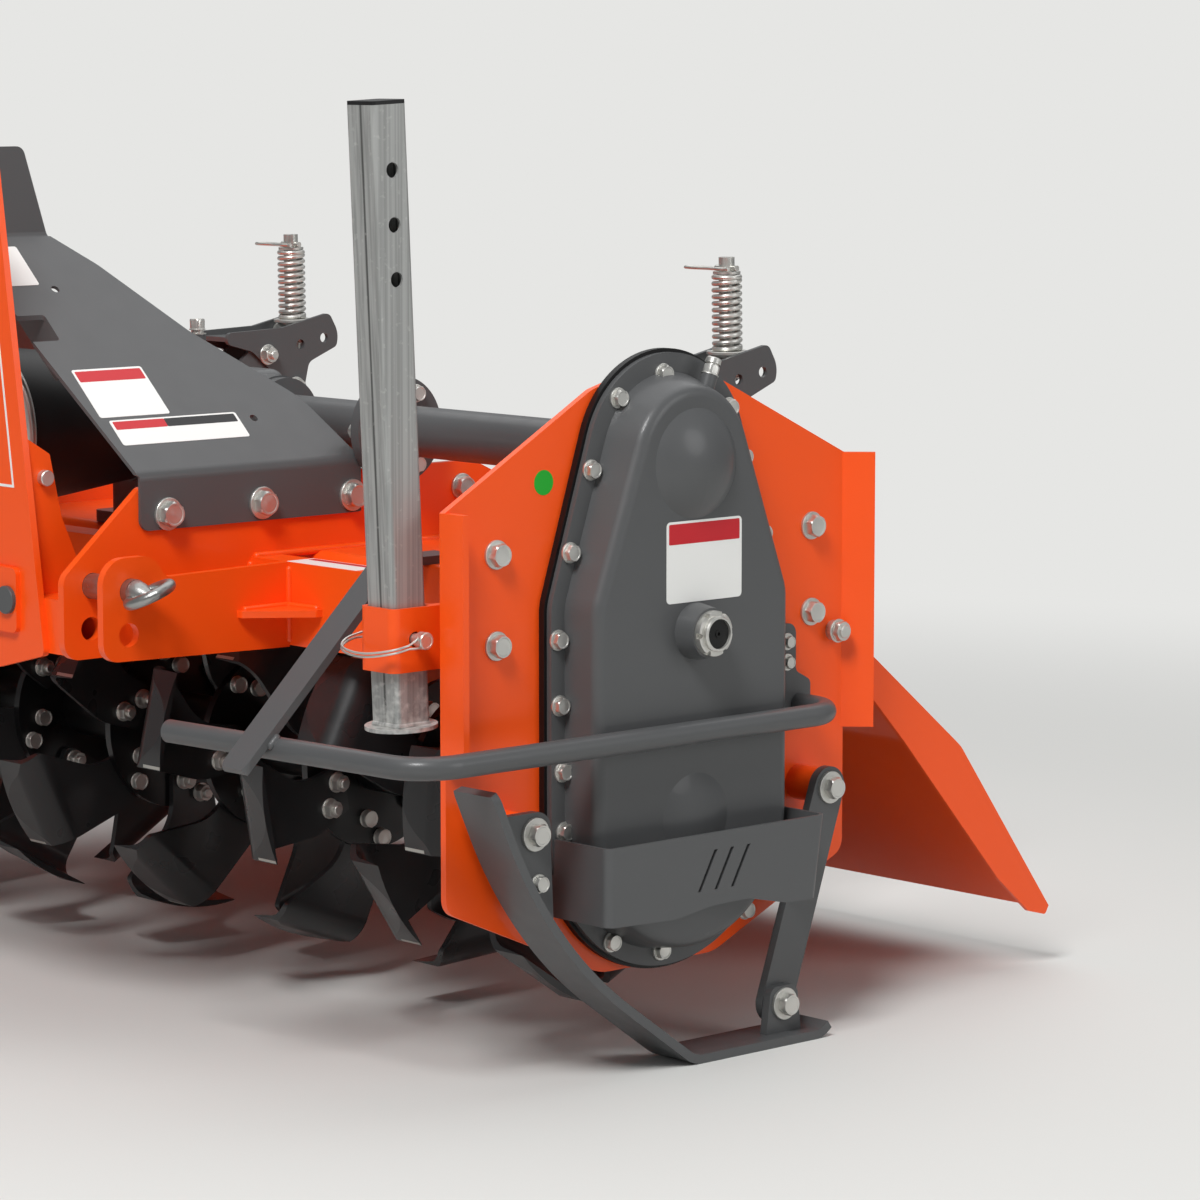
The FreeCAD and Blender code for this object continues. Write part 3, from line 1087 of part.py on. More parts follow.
def bumper():
    """Bent guard plate outside the foot of the chain case, with three slanted slots."""
    sections = []
    for level, rear in ((BUMPER_LOW, BUMPER_REAR_LOW), (BUMPER_TOP, BUMPER_REAR)):
        path = [(HALF_WIDTH, BUMPER_FRONT), (BUMPER_FACE, BUMPER_FRONT, BUMPER_BEND),
                (BUMPER_FACE, rear, BUMPER_BEND), (HALF_WIDTH, rear)]
        sections.append(outline_wire(sheet_outline(path, BUMPER_SHEET), "xy", level))
    shell = Part.makeLoft(sections, True, True)
    edge = [(BUMPER_FRONT + y, BUMPER_LOW + z, r) for y, z, r in BUMPER_EDGE]
    below = [(BUMPER_REAR + PAST, BUMPER_LOW - PAST), (BUMPER_FRONT - PAST, BUMPER_LOW - PAST)]
    first, last = (BUMPER_FRONT - PAST, edge[0][1]), (BUMPER_REAR + PAST, edge[-1][1])
    shell = shell.cut(plate([first, *edge[1:-1], last, *below], "yz", HALF_WIDTH, BUMPER_FACE + PAST))
    for y in SLOTS:
        slot = plate([(y, SLOT_FOOT), (y + SLOT_WIDTH, SLOT_FOOT), (y + SLOT_WIDTH + SLOT_LEAN, SLOT_HEAD),
                      (y + SLOT_LEAN, SLOT_HEAD)], "yz", BUMPER_FACE - 2 * BUMPER_SHEET, BUMPER_FACE + PAST)
        shell = shell.cut(slot)
    return shell.cut(belt(case_circles(CASE_FLANGE_RADII, CASE_RIM), "yz", HALF_WIDTH, CASE_FACE))


def leaned(shape):
    """A piece of the parking stand, leaned about its pin."""
    shape.rotate(Vector(STAND_X, STAND_Y, STAND_PIN_Z), ACROSS, STAND_LEAN)
    return shape


def square_bar(half_x, half_y, corner, low, high):
    """An upright bar on the stand's axis."""
    corners = [(STAND_X + x * half_x, STAND_Y + y * half_y, corner)
               for x, y in ((-1, -1), (1, -1), (1, 1), (-1, 1))]
    return plate(corners, "xy", low, high)


def stand_socket():
    """Square sleeve of the parking stand, tied to the front beam."""
    half_x = STAND_TUBE / 2 + SOCKET_PLAY
    half_y = half_x + (SOCKET_HEAD - SOCKET_FOOT) / 2 * tan(radians(STAND_LEAN))
    outer = half_x + SOCKET_WALL
    front = STAND_Y - half_y - SOCKET_WALL
    low, high = STAND_X - outer, STAND_X + outer
    sleeve = plate([(low, front, SOCKET_CORNER), (high, front, SOCKET_CORNER),
                    (high, SOCKET_BACK), (low, SOCKET_BACK)], "xy", SOCKET_FOOT, SOCKET_HEAD)
    hole = square_bar(half_x, half_y, STAND_CORNER, SOCKET_FOOT, SOCKET_HEAD)
    tie = box((high - SOCKET_TIE, high), (SOCKET_BACK - WELD, BEAM_FRONT),
              (SOCKET_FOOT, SOCKET_HEAD))
    pin = cross_rod(low - PAST, high + PAST, STAND_Y, STAND_PIN_Z, STAND_HOLE)
    return fused(sleeve, tie).cut(hole).cut(pin)


def stand_leg():
    """Square stand tube with adjusting holes and a round foot."""
    half, inner = STAND_TUBE / 2, STAND_TUBE / 2 - STAND_WALL
    bottom = STAND_FOOT_Z + STAND_FOOT
    tube = square_bar(half, half, STAND_CORNER, bottom, STAND_TOP)
    core = square_bar(inner, inner, STAND_CORNER - STAND_WALL, bottom, STAND_TOP)
    foot = Part.makeCylinder(STAND_FOOT_RADIUS, STAND_FOOT, Vector(STAND_X, STAND_Y, STAND_FOOT_Z))
    body = fused(tube.cut(core), foot)
    first = STAND_TOP - STAND_HOLES_FROM_TOP
    heights = [first - i * STAND_HOLE_PITCH for i in range(STAND_HOLE_COUNT)]
    low, high = STAND_X - half - PAST, STAND_X + half + PAST
    for z in (*heights, STAND_PIN_Z):
        body = body.cut(cross_rod(low, high, STAND_Y, z, STAND_HOLE))
    return leaned(body)


def stand_cap():
    """Plastic cap in the top of the stand tube."""
    half, inner = STAND_TUBE / 2, STAND_TUBE / 2 - STAND_WALL
    lid = square_bar(half, half, STAND_CORNER, STAND_TOP, STAND_TOP + CAP_THICK)
    plug = square_bar(inner, inner, STAND_CORNER - STAND_WALL, STAND_TOP - CAP_PLUG, STAND_TOP)
    return leaned(fused(lid, plug))


SINGLE_PIECES = {
    "case_backing": case_backing, "chain_case": chain_case, "bearing_housing": bearing_housing,
    "front_beam": front_beam, "rear_beam": rear_beam, "deck": deck,
    "hitch_crossbar": hitch_crossbar, "mast_head": mast_head,
    "gearbox": gearbox, "axle_tube": axle_tube, "pto_shaft": pto_shaft,
    "pto_shield": pto_shield, "guard_ring": guard_ring, "rotor_shaft": rotor_shaft,
    "tailgate": tailgate, "case_bumper": bumper,
    "stand_socket": stand_socket, "stand_leg": stand_leg, "stand_cap": stand_cap,
}
PAIRED_PIECES = {
    "end_plate": end_plate, "cradle_plate": cradle_plate, "clevis_plate": clevis_plate,
    "hitch_pin": hitch_pin, "mast_leg": mast_leg, "guard_cover": guard_cover,
    "hinge_pin": hinge_pin, "lift_rod": lift_rod, "spring_swivel": swivel,
    "spring_arm": spring_arm, "skid": skid, "skid_arm": skid_arm, "guard_hoop": guard_hoop,
}


def build():
    """Every node by name, with the origin moved under the middle of the whole box."""
    nodes = {name: make() for name, make in SINGLE_PIECES.items()}
    for name, make in PAIRED_PIECES.items():
        piece = make()
        nodes[name + "_left"] = piece
        nodes[name + "_right"] = on_side(piece, RIGHT)
    nodes["tines_left_hand"] = tines(LEFT)
    nodes["tines_right_hand"] = tines(RIGHT)
    whole = Part.makeCompound(list(nodes.values())).BoundBox
    shift = Vector(-whole.Center.x, -whole.Center.y, -whole.ZMin)
    for shape in nodes.values():
        shape.translate(shift)
    return nodes, shift


if __name__ == "__main__":
    os.makedirs("parts", exist_ok=True)
    pieces, moved = build()
    for node, solid in pieces.items():
        solid.exportStep(f"parts/{node}.step")
        print(node, len(solid.Solids), solid.isValid(), round(solid.Volume / 1e3, 1))
    print("shift", [round(v, 3) for v in moved])
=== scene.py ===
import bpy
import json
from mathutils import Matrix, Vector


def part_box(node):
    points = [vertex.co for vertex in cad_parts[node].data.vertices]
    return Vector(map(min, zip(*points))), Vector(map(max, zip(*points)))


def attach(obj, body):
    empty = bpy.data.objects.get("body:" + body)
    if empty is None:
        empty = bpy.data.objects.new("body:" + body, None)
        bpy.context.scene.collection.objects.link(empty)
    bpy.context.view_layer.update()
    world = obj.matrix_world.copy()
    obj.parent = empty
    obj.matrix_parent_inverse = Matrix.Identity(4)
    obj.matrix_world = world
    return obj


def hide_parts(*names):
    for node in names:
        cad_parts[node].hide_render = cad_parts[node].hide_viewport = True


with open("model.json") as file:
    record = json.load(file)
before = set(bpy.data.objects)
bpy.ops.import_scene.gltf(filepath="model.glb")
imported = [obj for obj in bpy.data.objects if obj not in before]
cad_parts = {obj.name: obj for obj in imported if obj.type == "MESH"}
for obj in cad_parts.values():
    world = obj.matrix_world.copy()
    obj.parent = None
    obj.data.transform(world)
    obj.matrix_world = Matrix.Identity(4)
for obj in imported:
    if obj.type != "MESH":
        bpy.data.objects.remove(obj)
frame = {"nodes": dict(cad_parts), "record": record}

"""Looks of a three-point rotavator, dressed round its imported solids.

Lengths are in millimetres of the machine's own frame unless a name ends in _m: X across, with
the chain case at +X, Y from the tractor backwards, Z up, and Y = 0 at the end plates' front edge.
"""

import json
import logging
import math
from dataclasses import dataclass, field
from enum import Enum

import bmesh
import bpy
import numpy as np

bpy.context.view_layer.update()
LOG = logging.getLogger("rotavator")
MM = 0.001
LEFT, RIGHT = 1.0, -1.0


def machine_origin() -> np.ndarray:
    """Where the machine frame's zero lies in the row frame, from the end plates' boxes.

    Returns:
        The place, in metres.
    """
    left_low, left_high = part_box("end_plate_left")
    right_low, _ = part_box("end_plate_right")
    return np.array([(left_high.x + right_low.x) / 2, left_low.y, 0.0])


ORIGIN_M = machine_origin()


class Spot(Enum):
    """The bodies that carry what the scene adds."""

    FRAME = "root"
    ROTOR = "rotor"
    GATE = "tailgate"
    STAND = "stand"
    SWIVEL_LEFT = "swivel_left"
    SWIVEL_RIGHT = "swivel_right"
    ROD_LEFT = "rod_left"
    ROD_RIGHT = "rod_right"


# Finishes

def linear(code: str) -> tuple[float, float, float, float]:
    """Linear colour of an sRGB hex code.

    Args:
        code: six hex digits.
    Returns:
        Red, green, blue and an alpha of 1.
    """
    parts = [int(code[i:i + 2], 16) / 255 for i in (0, 2, 4)]
    red, green, blue = [p / 12.92 if p <= 0.04045 else ((p + 0.055) / 1.055) ** 2.4 for p in parts]
    return red, green, blue, 1.0


def add_node(tree: bpy.types.NodeTree, kind: str, settings: dict | None = None,
             values: dict | None = None, links: dict | None = None) -> bpy.types.Node:
    """One node of a material.

    Args:
        tree: the material's node tree.
        kind: the node's Blender type.
        settings: properties of the node itself.
        values: socket name or number to its fixed value.
        links: socket name or number to the output that feeds it.
    Returns:
        The new node.
    """
    node = tree.nodes.new(kind)
    for key, value in (settings or {}).items():
        setattr(node, key, value)
    for key, value in (values or {}).items():
        node.inputs[key].default_value = value
    for key, source in (links or {}).items():
        tree.links.new(source, node.inputs[key])
    return node


@dataclass(frozen=True)
class Finish:
    """A plain finish: one colour with a fine unevenness in gloss and surface.

    grain_mm is the size of the unevenness, relief_mm its height, mottle the share by which the
    roughness wanders.
    """

    name: str
    colour: str
    roughness: float = 0.4
    metallic: float = 0.0
    coat: float = 0.0
    grain_mm: float = 2.0
    relief_mm: float = 0.0
    mottle: float = 0.0
    stretch: tuple[float, float, float] = (1.0, 1.0, 1.0)
    slot: str = ""

    def start(self) -> tuple[bpy.types.Material, bpy.types.NodeTree, bpy.types.Node]:
        """A material with its surface shader and output alone.

        Returns:
            The material, its node tree and its surface shader.
        """
        material = bpy.data.materials.new(self.name)
        material.use_nodes = True
        tree = material.node_tree
        tree.nodes.clear()
        shader = add_node(tree, "ShaderNodeBsdfPrincipled", values={
            "Base Color": linear(self.colour), "Metallic": self.metallic,
            "Roughness": self.roughness, "Coat Weight": self.coat, "Coat Roughness": 0.12,
            "Specular IOR Level": 0.35})
        add_node(tree, "ShaderNodeOutputMaterial", links={"Surface": shader.outputs[0]})
        return material, tree, shader

    def noise(self, tree: bpy.types.NodeTree, size_mm: float, detail: float = 2.0) -> bpy.types.NodeSocket:
        """Noise whose grains are size_mm wide on the object, drawn out along the finish's stretch.

        Args:
            tree: the material's node tree.
            size_mm: width of a grain.
            detail: how many finer octaves are added.
        Returns:
            The noise, 0 to 1.
        """
        place = add_node(tree, "ShaderNodeTexCoord")
        mapping = add_node(tree, "ShaderNodeMapping", values={"Scale": self.stretch},
                           links={"Vector": place.outputs["Object"]})
        return add_node(tree, "ShaderNodeTexNoise", values={"Scale": 1 / (size_mm * MM), "Detail": detail},
                        links={"Vector": mapping.outputs[0]}).outputs["Fac"]

    def material(self) -> bpy.types.Material:
        """The finished material: the shader with its unevenness in gloss and height.

        Returns:
            The material.
        """
        material, tree, shader = self.start()
        if self.mottle:
            spread = add_node(tree, "ShaderNodeMapRange", values={
                1: 0.3, 2: 0.7, 3: self.roughness * (1 - self.mottle),
                4: self.roughness * (1 + self.mottle)}, links={0: self.noise(tree, self.grain_mm * 12)})
            tree.links.new(spread.outputs[0], shader.inputs["Roughness"])
        if self.relief_mm:
            bump = add_node(tree, "ShaderNodeBump", values={
                "Strength": 1.0, "Distance": self.relief_mm * MM}, links={
                    "Height": self.noise(tree, self.grain_mm)})
            tree.links.new(bump.outputs[0], shader.inputs["Normal"])
        self.extra(tree, shader)
        return material

    def extra(self, tree: bpy.types.NodeTree, shader: bpy.types.Node) -> None:
        """Nothing more on a plain finish."""


@dataclass(frozen=True)
class DrawnTube(Finish):
    """Bare drawn steel: faint streaks along the tube, a dark seam and a pale bloom towards its foot.

    The streaks are noise between the dark and the tube's own colour, over the shares of streak_ramp.
    The seam is a band seam_m wide to each side of its place across the tube, and covers seam_share
    of the steel.  The bloom is a finer noise, raised by up to bloom_gain between bloom_from_m and
    bloom_to_m downwards, that shows over the shares of bloom_ramp and covers at most bloom_share.
    """

    dark: str = "939492"
    pale: str = "CFCFCB"
    seam_colour: str = "2B2B2A"
    streak_mm: float = 4.0
    streak_ramp: tuple[float, float] = (0.38, 0.6)
    seam_x_m: float = 0.0
    seam_m: float = 0.0022
    seam_share: float = 0.75
    bloom_from_m: float = 0.455
    bloom_to_m: float = 0.385
    bloom_gain: float = 0.3
    bloom_per_m: float = 130.0
    bloom_ramp: tuple[float, float] = (0.62, 0.9)
    bloom_share: float = 0.8
    bloom_metallic: float = 0.25

    def extra(self, tree: bpy.types.NodeTree, shader: bpy.types.Node) -> None:
        """Mixes streaks, seam and bloom into the colour.

        Args:
            tree: the material's node tree.
            shader: its surface shader.
        """
        ramp = add_node(tree, "ShaderNodeValToRGB", links={"Fac": self.noise(tree, self.streak_mm, 3.0)})
        colours = (self.dark, self.colour)
        for element, share, colour in zip(ramp.color_ramp.elements, self.streak_ramp, colours):
            element.position = share
            element.color = linear(colour)
        place = add_node(tree, "ShaderNodeTexCoord")
        split = add_node(tree, "ShaderNodeSeparateXYZ", links={0: place.outputs["Object"]})
        off = add_node(tree, "ShaderNodeMath", {"operation": "SUBTRACT"}, {1: self.seam_x_m},
                       {0: split.outputs["X"]})
        away = add_node(tree, "ShaderNodeMath", {"operation": "ABSOLUTE"}, None, {0: off.outputs[0]})
        seam = add_node(tree, "ShaderNodeMapRange", None,
                        {1: self.seam_m * 0.4, 2: self.seam_m, 3: self.seam_share, 4: 0.0},
                        {0: away.outputs[0]})
        lined = self.mixed(tree, seam.outputs[0], ramp.outputs[0], self.seam_colour)
        low = add_node(tree, "ShaderNodeMapRange", None,
                       {1: self.bloom_from_m, 2: self.bloom_to_m, 3: 0.0, 4: self.bloom_gain},
                       {0: split.outputs["Z"]})
        patches = add_node(tree, "ShaderNodeTexNoise", values={"Scale": self.bloom_per_m, "Detail": 5.0},
                           links={"Vector": place.outputs["Object"]})
        share = add_node(tree, "ShaderNodeMath", {"operation": "ADD", "use_clamp": True}, None,
                         {0: low.outputs[0], 1: patches.outputs["Fac"]})
        bloom = add_node(tree, "ShaderNodeMapRange", None, {
            1: self.bloom_ramp[0], 2: self.bloom_ramp[1], 3: 0.0, 4: self.bloom_share},
                         {0: share.outputs[0]})
        tree.links.new(self.mixed(tree, bloom.outputs[0], lined, self.pale), shader.inputs["Base Color"])
        metal = add_node(tree, "ShaderNodeMapRange", None, {3: self.metallic, 4: self.bloom_metallic},
                         {0: bloom.outputs[0]})
        tree.links.new(metal.outputs[0], shader.inputs["Metallic"])

    @staticmethod
    def mixed(tree: bpy.types.NodeTree, share: bpy.types.NodeSocket, under: bpy.types.NodeSocket,
              over: str) -> bpy.types.NodeSocket:
        """A colour covered in part by a fixed one.

        Args:
            tree: the material's node tree.
            share: how much is covered.
            under: the colour below.
            over: six hex digits of the colour above.
        Returns:
            The mixed colour.
        """
        mix = add_node(tree, "ShaderNodeMix", {"data_type": "RGBA"})
        colours = [s for s in mix.inputs if s.type == "RGBA"]
        colours[1].default_value = linear(over)
        tree.links.new(share, mix.inputs[0])
        tree.links.new(under, colours[0])
        return [s for s in mix.outputs if s.type == "RGBA"][0]


AXIS_Y, AXIS_Z = 302.0, 266.0
STAND_X, STAND_Y, STAND_PIN_Z, STAND_LEAN = 708.0, -16.0, 479.0, 2.6

# Powder coat is an even gloss with a faint orange peel.
ORANGE_COAT = Finish("orange gloss powder coat", "FA5612", 0.34, coat=0.12, grain_mm=3.0,
                     relief_mm=0.02, mottle=0.12, slot="orange_paint")
GREY_COAT = Finish("dark grey satin powder coat", "535455", 0.42, coat=0.15, grain_mm=2.5,
                   relief_mm=0.02, mottle=0.1, slot="grey_paint")
# Brushed or sprayed paint is a little cloudier than powder coat.
BLACK_PAINT = Finish("black gloss paint", "101011", 0.32, coat=0.15, grain_mm=3.0, relief_mm=0.02,
                     mottle=0.15, slot="black_paint")
# Sealing compound is pressed flat between case and plate, dull and nearly black.
GASKET = Finish("black sealing compound", "0C0C0D", 0.45, slot="sealing_plate")
# Zinc plate is bright and faintly warm, with cloudy gloss where the bath was uneven.
ZINC = Finish("bright zinc plate", "D2D1CC", 0.42, 0.9, grain_mm=1.2, relief_mm=0.02, mottle=0.3,
              slot="zinc_steel")
# A forging keeps its lumpy skin under the zinc.
FORGED = Finish("forged steel, zinc plated", "A3A3A1", 0.36, 0.95, grain_mm=5.0, relief_mm=0.5,
                mottle=0.4, slot="zinc_steel")
# Drawing leaves fine lines along a tube, and the weld's seam shows darker.
DRAWN = DrawnTube("drawn steel tube", "A9AAA8", 0.5, 0.35, grain_mm=3.0, relief_mm=0.01, mottle=0.2,
                  stretch=(1.0, 1.0, 0.008), slot="bare_steel",
                  seam_x_m=(STAND_X + 2) * MM + float(ORIGIN_M[0]))
# Turning leaves bare steel smooth and even.
STEEL = Finish("turned steel", "8E8F8D", 0.34, 0.9, mottle=0.2, slot="bare_steel")
# Moulded plastic is dull, with a fine grain from its mould.
PLASTIC = Finish("black moulded plastic", "161617", 0.45, grain_mm=1.0, relief_mm=0.02,
                 slot="black_plastic")
# Forged blades are dipped in thin paint, which lets the metal's unevenness through.
BLADE = Finish("black painted blade steel", "222223", 0.34, coat=0.25, grain_mm=4.0,
               relief_mm=0.05, mottle=0.25, slot="tine_steel")
# Painted highlight: a thin bright metallic strip along each blade's leading edge stands for the light that
# the lit bevels catch.
BLADE_EDGE_HIGHLIGHT = Finish("painted blade edge highlight", "B9B8B2", 0.35, 0.9, mottle=0.2, slot="tine_steel")
# Printed vinyl is flat and even in colour, with a low sheen.
VINYL_WHITE = Finish("white vinyl sticker", "ECECE9", 0.35)
VINYL_RED = Finish("red printed vinyl", "C4232C", 0.35)
VINYL_BLACK = Finish("black printed vinyl", "242426", 0.35)
VINYL_GREEN = Finish("green printed vinyl", "1FA52C", 0.35)
# Painted shade: a disc in the castle nut's bore is coloured nearly black and stands for the shadow inside
# it.
BORE_SHADOW_PAINT = Finish("shadowed bore", "0A0A0A", 0.5)


class Palette:
    """Makes each finish's material once."""

    def __init__(self) -> None:
        """An empty palette."""
        self.made: dict[str, bpy.types.Material] = {}

    def get(self, finish: Finish) -> bpy.types.Material:
        """The material of a finish, made at its first use.

        Args:
            finish: the finish.
        Returns:
            The material.
        """
        if finish.name not in self.made:
            self.made[finish.name] = finish.material()
        return self.made[finish.name]


PALETTE = Palette()


# Surfaces

def unit(vector: tuple | np.ndarray) -> np.ndarray:
    """The vector at length 1."""
    array = np.asarray(vector, float)
    return array / np.linalg.norm(array)


def across(way: np.ndarray) -> tuple[np.ndarray, np.ndarray]:
    """Two unit vectors square to a way and to each other, right-handed with it.

    Args:
        way: a unit vector.
    Returns:
        The level one and the one that rises, where the way is level.
    """
    helper = np.array([0.0, 0.0, 1.0]) if abs(way[2]) < 0.9 else np.array([0.0, 1.0, 0.0])
    first = unit(np.cross(helper, way))
    return first, np.cross(way, first)


def smooth_path(points: list[tuple[float, float, float]], steps: int = 12) -> np.ndarray:
    """A curve through points.

    Each run is the cubic that leaves and reaches its ends with half the step between their
    neighbours as its slope; the end points' neighbours are mirrored.

    Args:
        points: the places that it passes through.
        steps: places worked out along each run.
    Returns:
        The curve's places, one a row.
    """
    knots = np.asarray(points, float)
    padded = np.concatenate([[2 * knots[0] - knots[1]], knots, [2 * knots[-1] - knots[-2]]])
    t = np.linspace(0, 1, steps, endpoint=False)[:, None]
    runs = [(2 * b + (c - a) * t + (2 * a - 5 * b + 4 * c - d) * t ** 2
             + (3 * b - a - 3 * c + d) * t ** 3) / 2
            for a, b, c, d in zip(padded, padded[1:], padded[2:], padded[3:])]
    return np.concatenate([*runs, knots[-1:]])


class Surface:
    """Points and faces gathered for one piece, in machine millimetres."""

    def __init__(self) -> None:
        """An empty surface."""
        self.points: list[np.ndarray] = []
        self.faces: list[list[int]] = []
        self.paints: list[int] = []
        self.count = 0

    def grid(self, points: np.ndarray, close_rows: bool = False, cap: bool = True,
             paint: int = 0) -> "Surface":
        """Adds a grid of quads over an array of points (rows, columns, 3), its columns closed.

        Face i, j joins the points i, j to i, j+1, i+1, j+1 and i+1, j, all found by array sums.

        Args:
            points: the grid.
            close_rows: join the last row to the first.
            cap: close the two end rows with flat faces.
            paint: number of the piece's finish.
        Returns:
            The surface itself.
        """
        rows, columns = points.shape[:2]
        i = np.arange(rows if close_rows else rows - 1)[:, None]
        j = np.arange(columns)[None, :]
        here, right = i * columns + j, i * columns + (j + 1) % columns
        ahead, both = ((i + 1) % rows) * columns + j, ((i + 1) % rows) * columns + (j + 1) % columns
        quads = np.stack([here, right, both, ahead], -1).reshape(-1, 4) + self.count
        self.faces += quads.tolist()
        added = len(quads)
        if cap and not close_rows:
            self.faces.append((np.arange(columns)[::-1] + self.count).tolist())
            self.faces.append((np.arange(columns) + self.count + (rows - 1) * columns).tolist())
            added += 2
        self.points.append(points.reshape(-1, 3))
        self.paints += [paint] * added
        self.count += rows * columns
        return self

    def ringed(self, centre: tuple | np.ndarray, way: tuple | np.ndarray, distance: np.ndarray,
               radius: np.ndarray, paint: int = 0) -> "Surface":
        """Adds rings square to a way.

        A point is the centre, plus the row's distance along the way, plus the row's radius at the
        point's angle round it.

        Args:
            centre: where the distances start.
            way: their direction.
            distance: one for each row.
            radius: one for each row and angle.
            paint: number of the piece's finish.
        Returns:
            The surface itself.
        """
        way = unit(way)
        first, second = across(way)
        angle = np.linspace(0, 2 * math.pi, radius.shape[1], endpoint=False)
        ring = np.cos(angle)[:, None] * first + np.sin(angle)[:, None] * second
        points = (np.asarray(centre, float) + distance[:, None, None] * way
                  + radius[..., None] * ring[None])
        return self.grid(points, paint=paint)

    def turned(self, centre: tuple | np.ndarray, way: tuple | np.ndarray,
               profile: list[tuple[float, float]], columns: int = 32, paint: int = 0) -> "Surface":
        """Adds a turned shape: each point of its profile becomes a circle square to the way.

        Args:
            centre: where the distances start.
            way: the axis it is turned about.
            profile: distance and radius of each circle.
            columns: points round a circle.
            paint: number of the piece's finish.
        Returns:
            The surface itself.
        """
        along = np.array(profile, float)
        return self.ringed(centre, way, along[:, 0], np.repeat(along[:, 1:], columns, 1), paint)

    def bolt(self, seat: tuple | np.ndarray, way: tuple | np.ndarray, shape: "BoltHead",
             turn: float = 0.0, paint: int = 0) -> "Surface":
        """Adds a bolt head or nut that stands on its seat."""
        return self.ringed(seat, way, *shape.rings(turn), paint)

    def swept(self, path: np.ndarray, radius: float | np.ndarray, columns: int = 16,
              paint: int = 0) -> "Surface":
        """Adds a tube: a circle of the radius carried along the path, square to its tangent.

        The tangent is the path's gradient.  The first cross direction is square to the tangent and to
        the axis that is least like the path; the second is square to the tangent and the first.

        Args:
            path: the places along it, one a row.
            radius: one for all, or one for each place.
            columns: points round the circle.
            paint: number of the piece's finish.
        Returns:
            The surface itself.
        """
        run = np.gradient(path, axis=0)
        run /= np.linalg.norm(run, axis=1)[:, None]
        helper = np.eye(3)[int(np.argmin(np.abs(run).mean(0)))]
        first = np.cross(run, helper)
        first /= np.linalg.norm(first, axis=1)[:, None]
        second = np.cross(run, first)
        angle = np.linspace(0, 2 * math.pi, columns, endpoint=False)
        size = np.broadcast_to(np.asarray(radius, float), (len(path),))[:, None, None]
        ring = (np.cos(angle)[None, :, None] * first[:, None]
                + np.sin(angle)[None, :, None] * second[:, None])
        return self.grid(path[:, None] + ring * size, paint=paint)

    def slab(self, corners: np.ndarray, normal: tuple | np.ndarray, thick: float,
             paint: int = 0) -> "Surface":
        """Adds a flat plate: its corners, and the same corners a thickness along the normal.

        Args:
            corners: the outline of its lower face.
            normal: the direction from the lower to the upper face.
            thick: the distance between them.
            paint: number of the piece's finish.
        Returns:
            The surface itself.
        """
        lift = unit(normal) * thick
        return self.grid(np.stack([corners, corners + lift]), paint=paint)

    def border(self, outer: np.ndarray, inner: np.ndarray, normal: tuple | np.ndarray, thick: float,
               paint: int = 0) -> "Surface":
        """Adds a flat frame between an outer and an inner outline of as many corners.

        Args:
            outer: corners of the outer outline.
            inner: corners of the inner one.
            normal: the direction from the lower to the upper face.
            thick: the distance between them.
            paint: number of the piece's finish.
        Returns:
            The surface itself.
        """
        lift = unit(normal) * thick
        return self.grid(np.stack([outer, outer + lift, inner + lift, inner]), close_rows=True,
                         paint=paint)

    def mirrored(self) -> "Surface":
        """Adds the mirror image across the machine of all that is here, its faces turned round.

        Returns:
            The surface itself.
        """
        count = self.count
        points = np.concatenate(self.points) * np.array([-1.0, 1.0, 1.0])
        self.faces += [[i + count for i in reversed(face)] for face in self.faces]
        self.paints += list(self.paints)
        self.points.append(points)
        self.count += len(points)
        return self

    def piece(self, name: str, spot: Spot, finishes: list[Finish], smooth_deg: float = 32.0,
              replaces: tuple[str, ...] = ()) -> bpy.types.Object:
        """Makes the Blender object, in the row frame and at the origin.

        Args:
            name: the piece's name.
            spot: the body that carries it.
            finishes: finish of each paint number.
            smooth_deg: edges sharper than this stay sharp.
            replaces: CAD nodes that the piece stands for.
        Returns:
            The object.
        """
        points = np.concatenate(self.points) * MM + ORIGIN_M
        mesh = bpy.data.meshes.new(name)
        mesh.from_pydata(points.tolist(), [], self.faces)
        mesh.polygons.foreach_set("material_index", np.array(self.paints, np.int32))
        for finish in finishes:
            mesh.materials.append(PALETTE.get(finish))
        work = bmesh.new()
        work.from_mesh(mesh)
        bmesh.ops.remove_doubles(work, verts=work.verts, dist=2e-6)
        bmesh.ops.recalc_face_normals(work, faces=work.faces)
        work.to_mesh(mesh)
        work.free()
        mesh.shade_smooth()
        mesh.set_sharp_from_angle(angle=math.radians(smooth_deg))
        item = bpy.data.objects.new(name, mesh)
        bpy.context.scene.collection.objects.link(item)
        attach(item, spot.value)
        if replaces:
            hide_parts(*replaces)
        LOG.info("%s: %d faces on %s", name, len(mesh.polygons), spot.value)
        return item


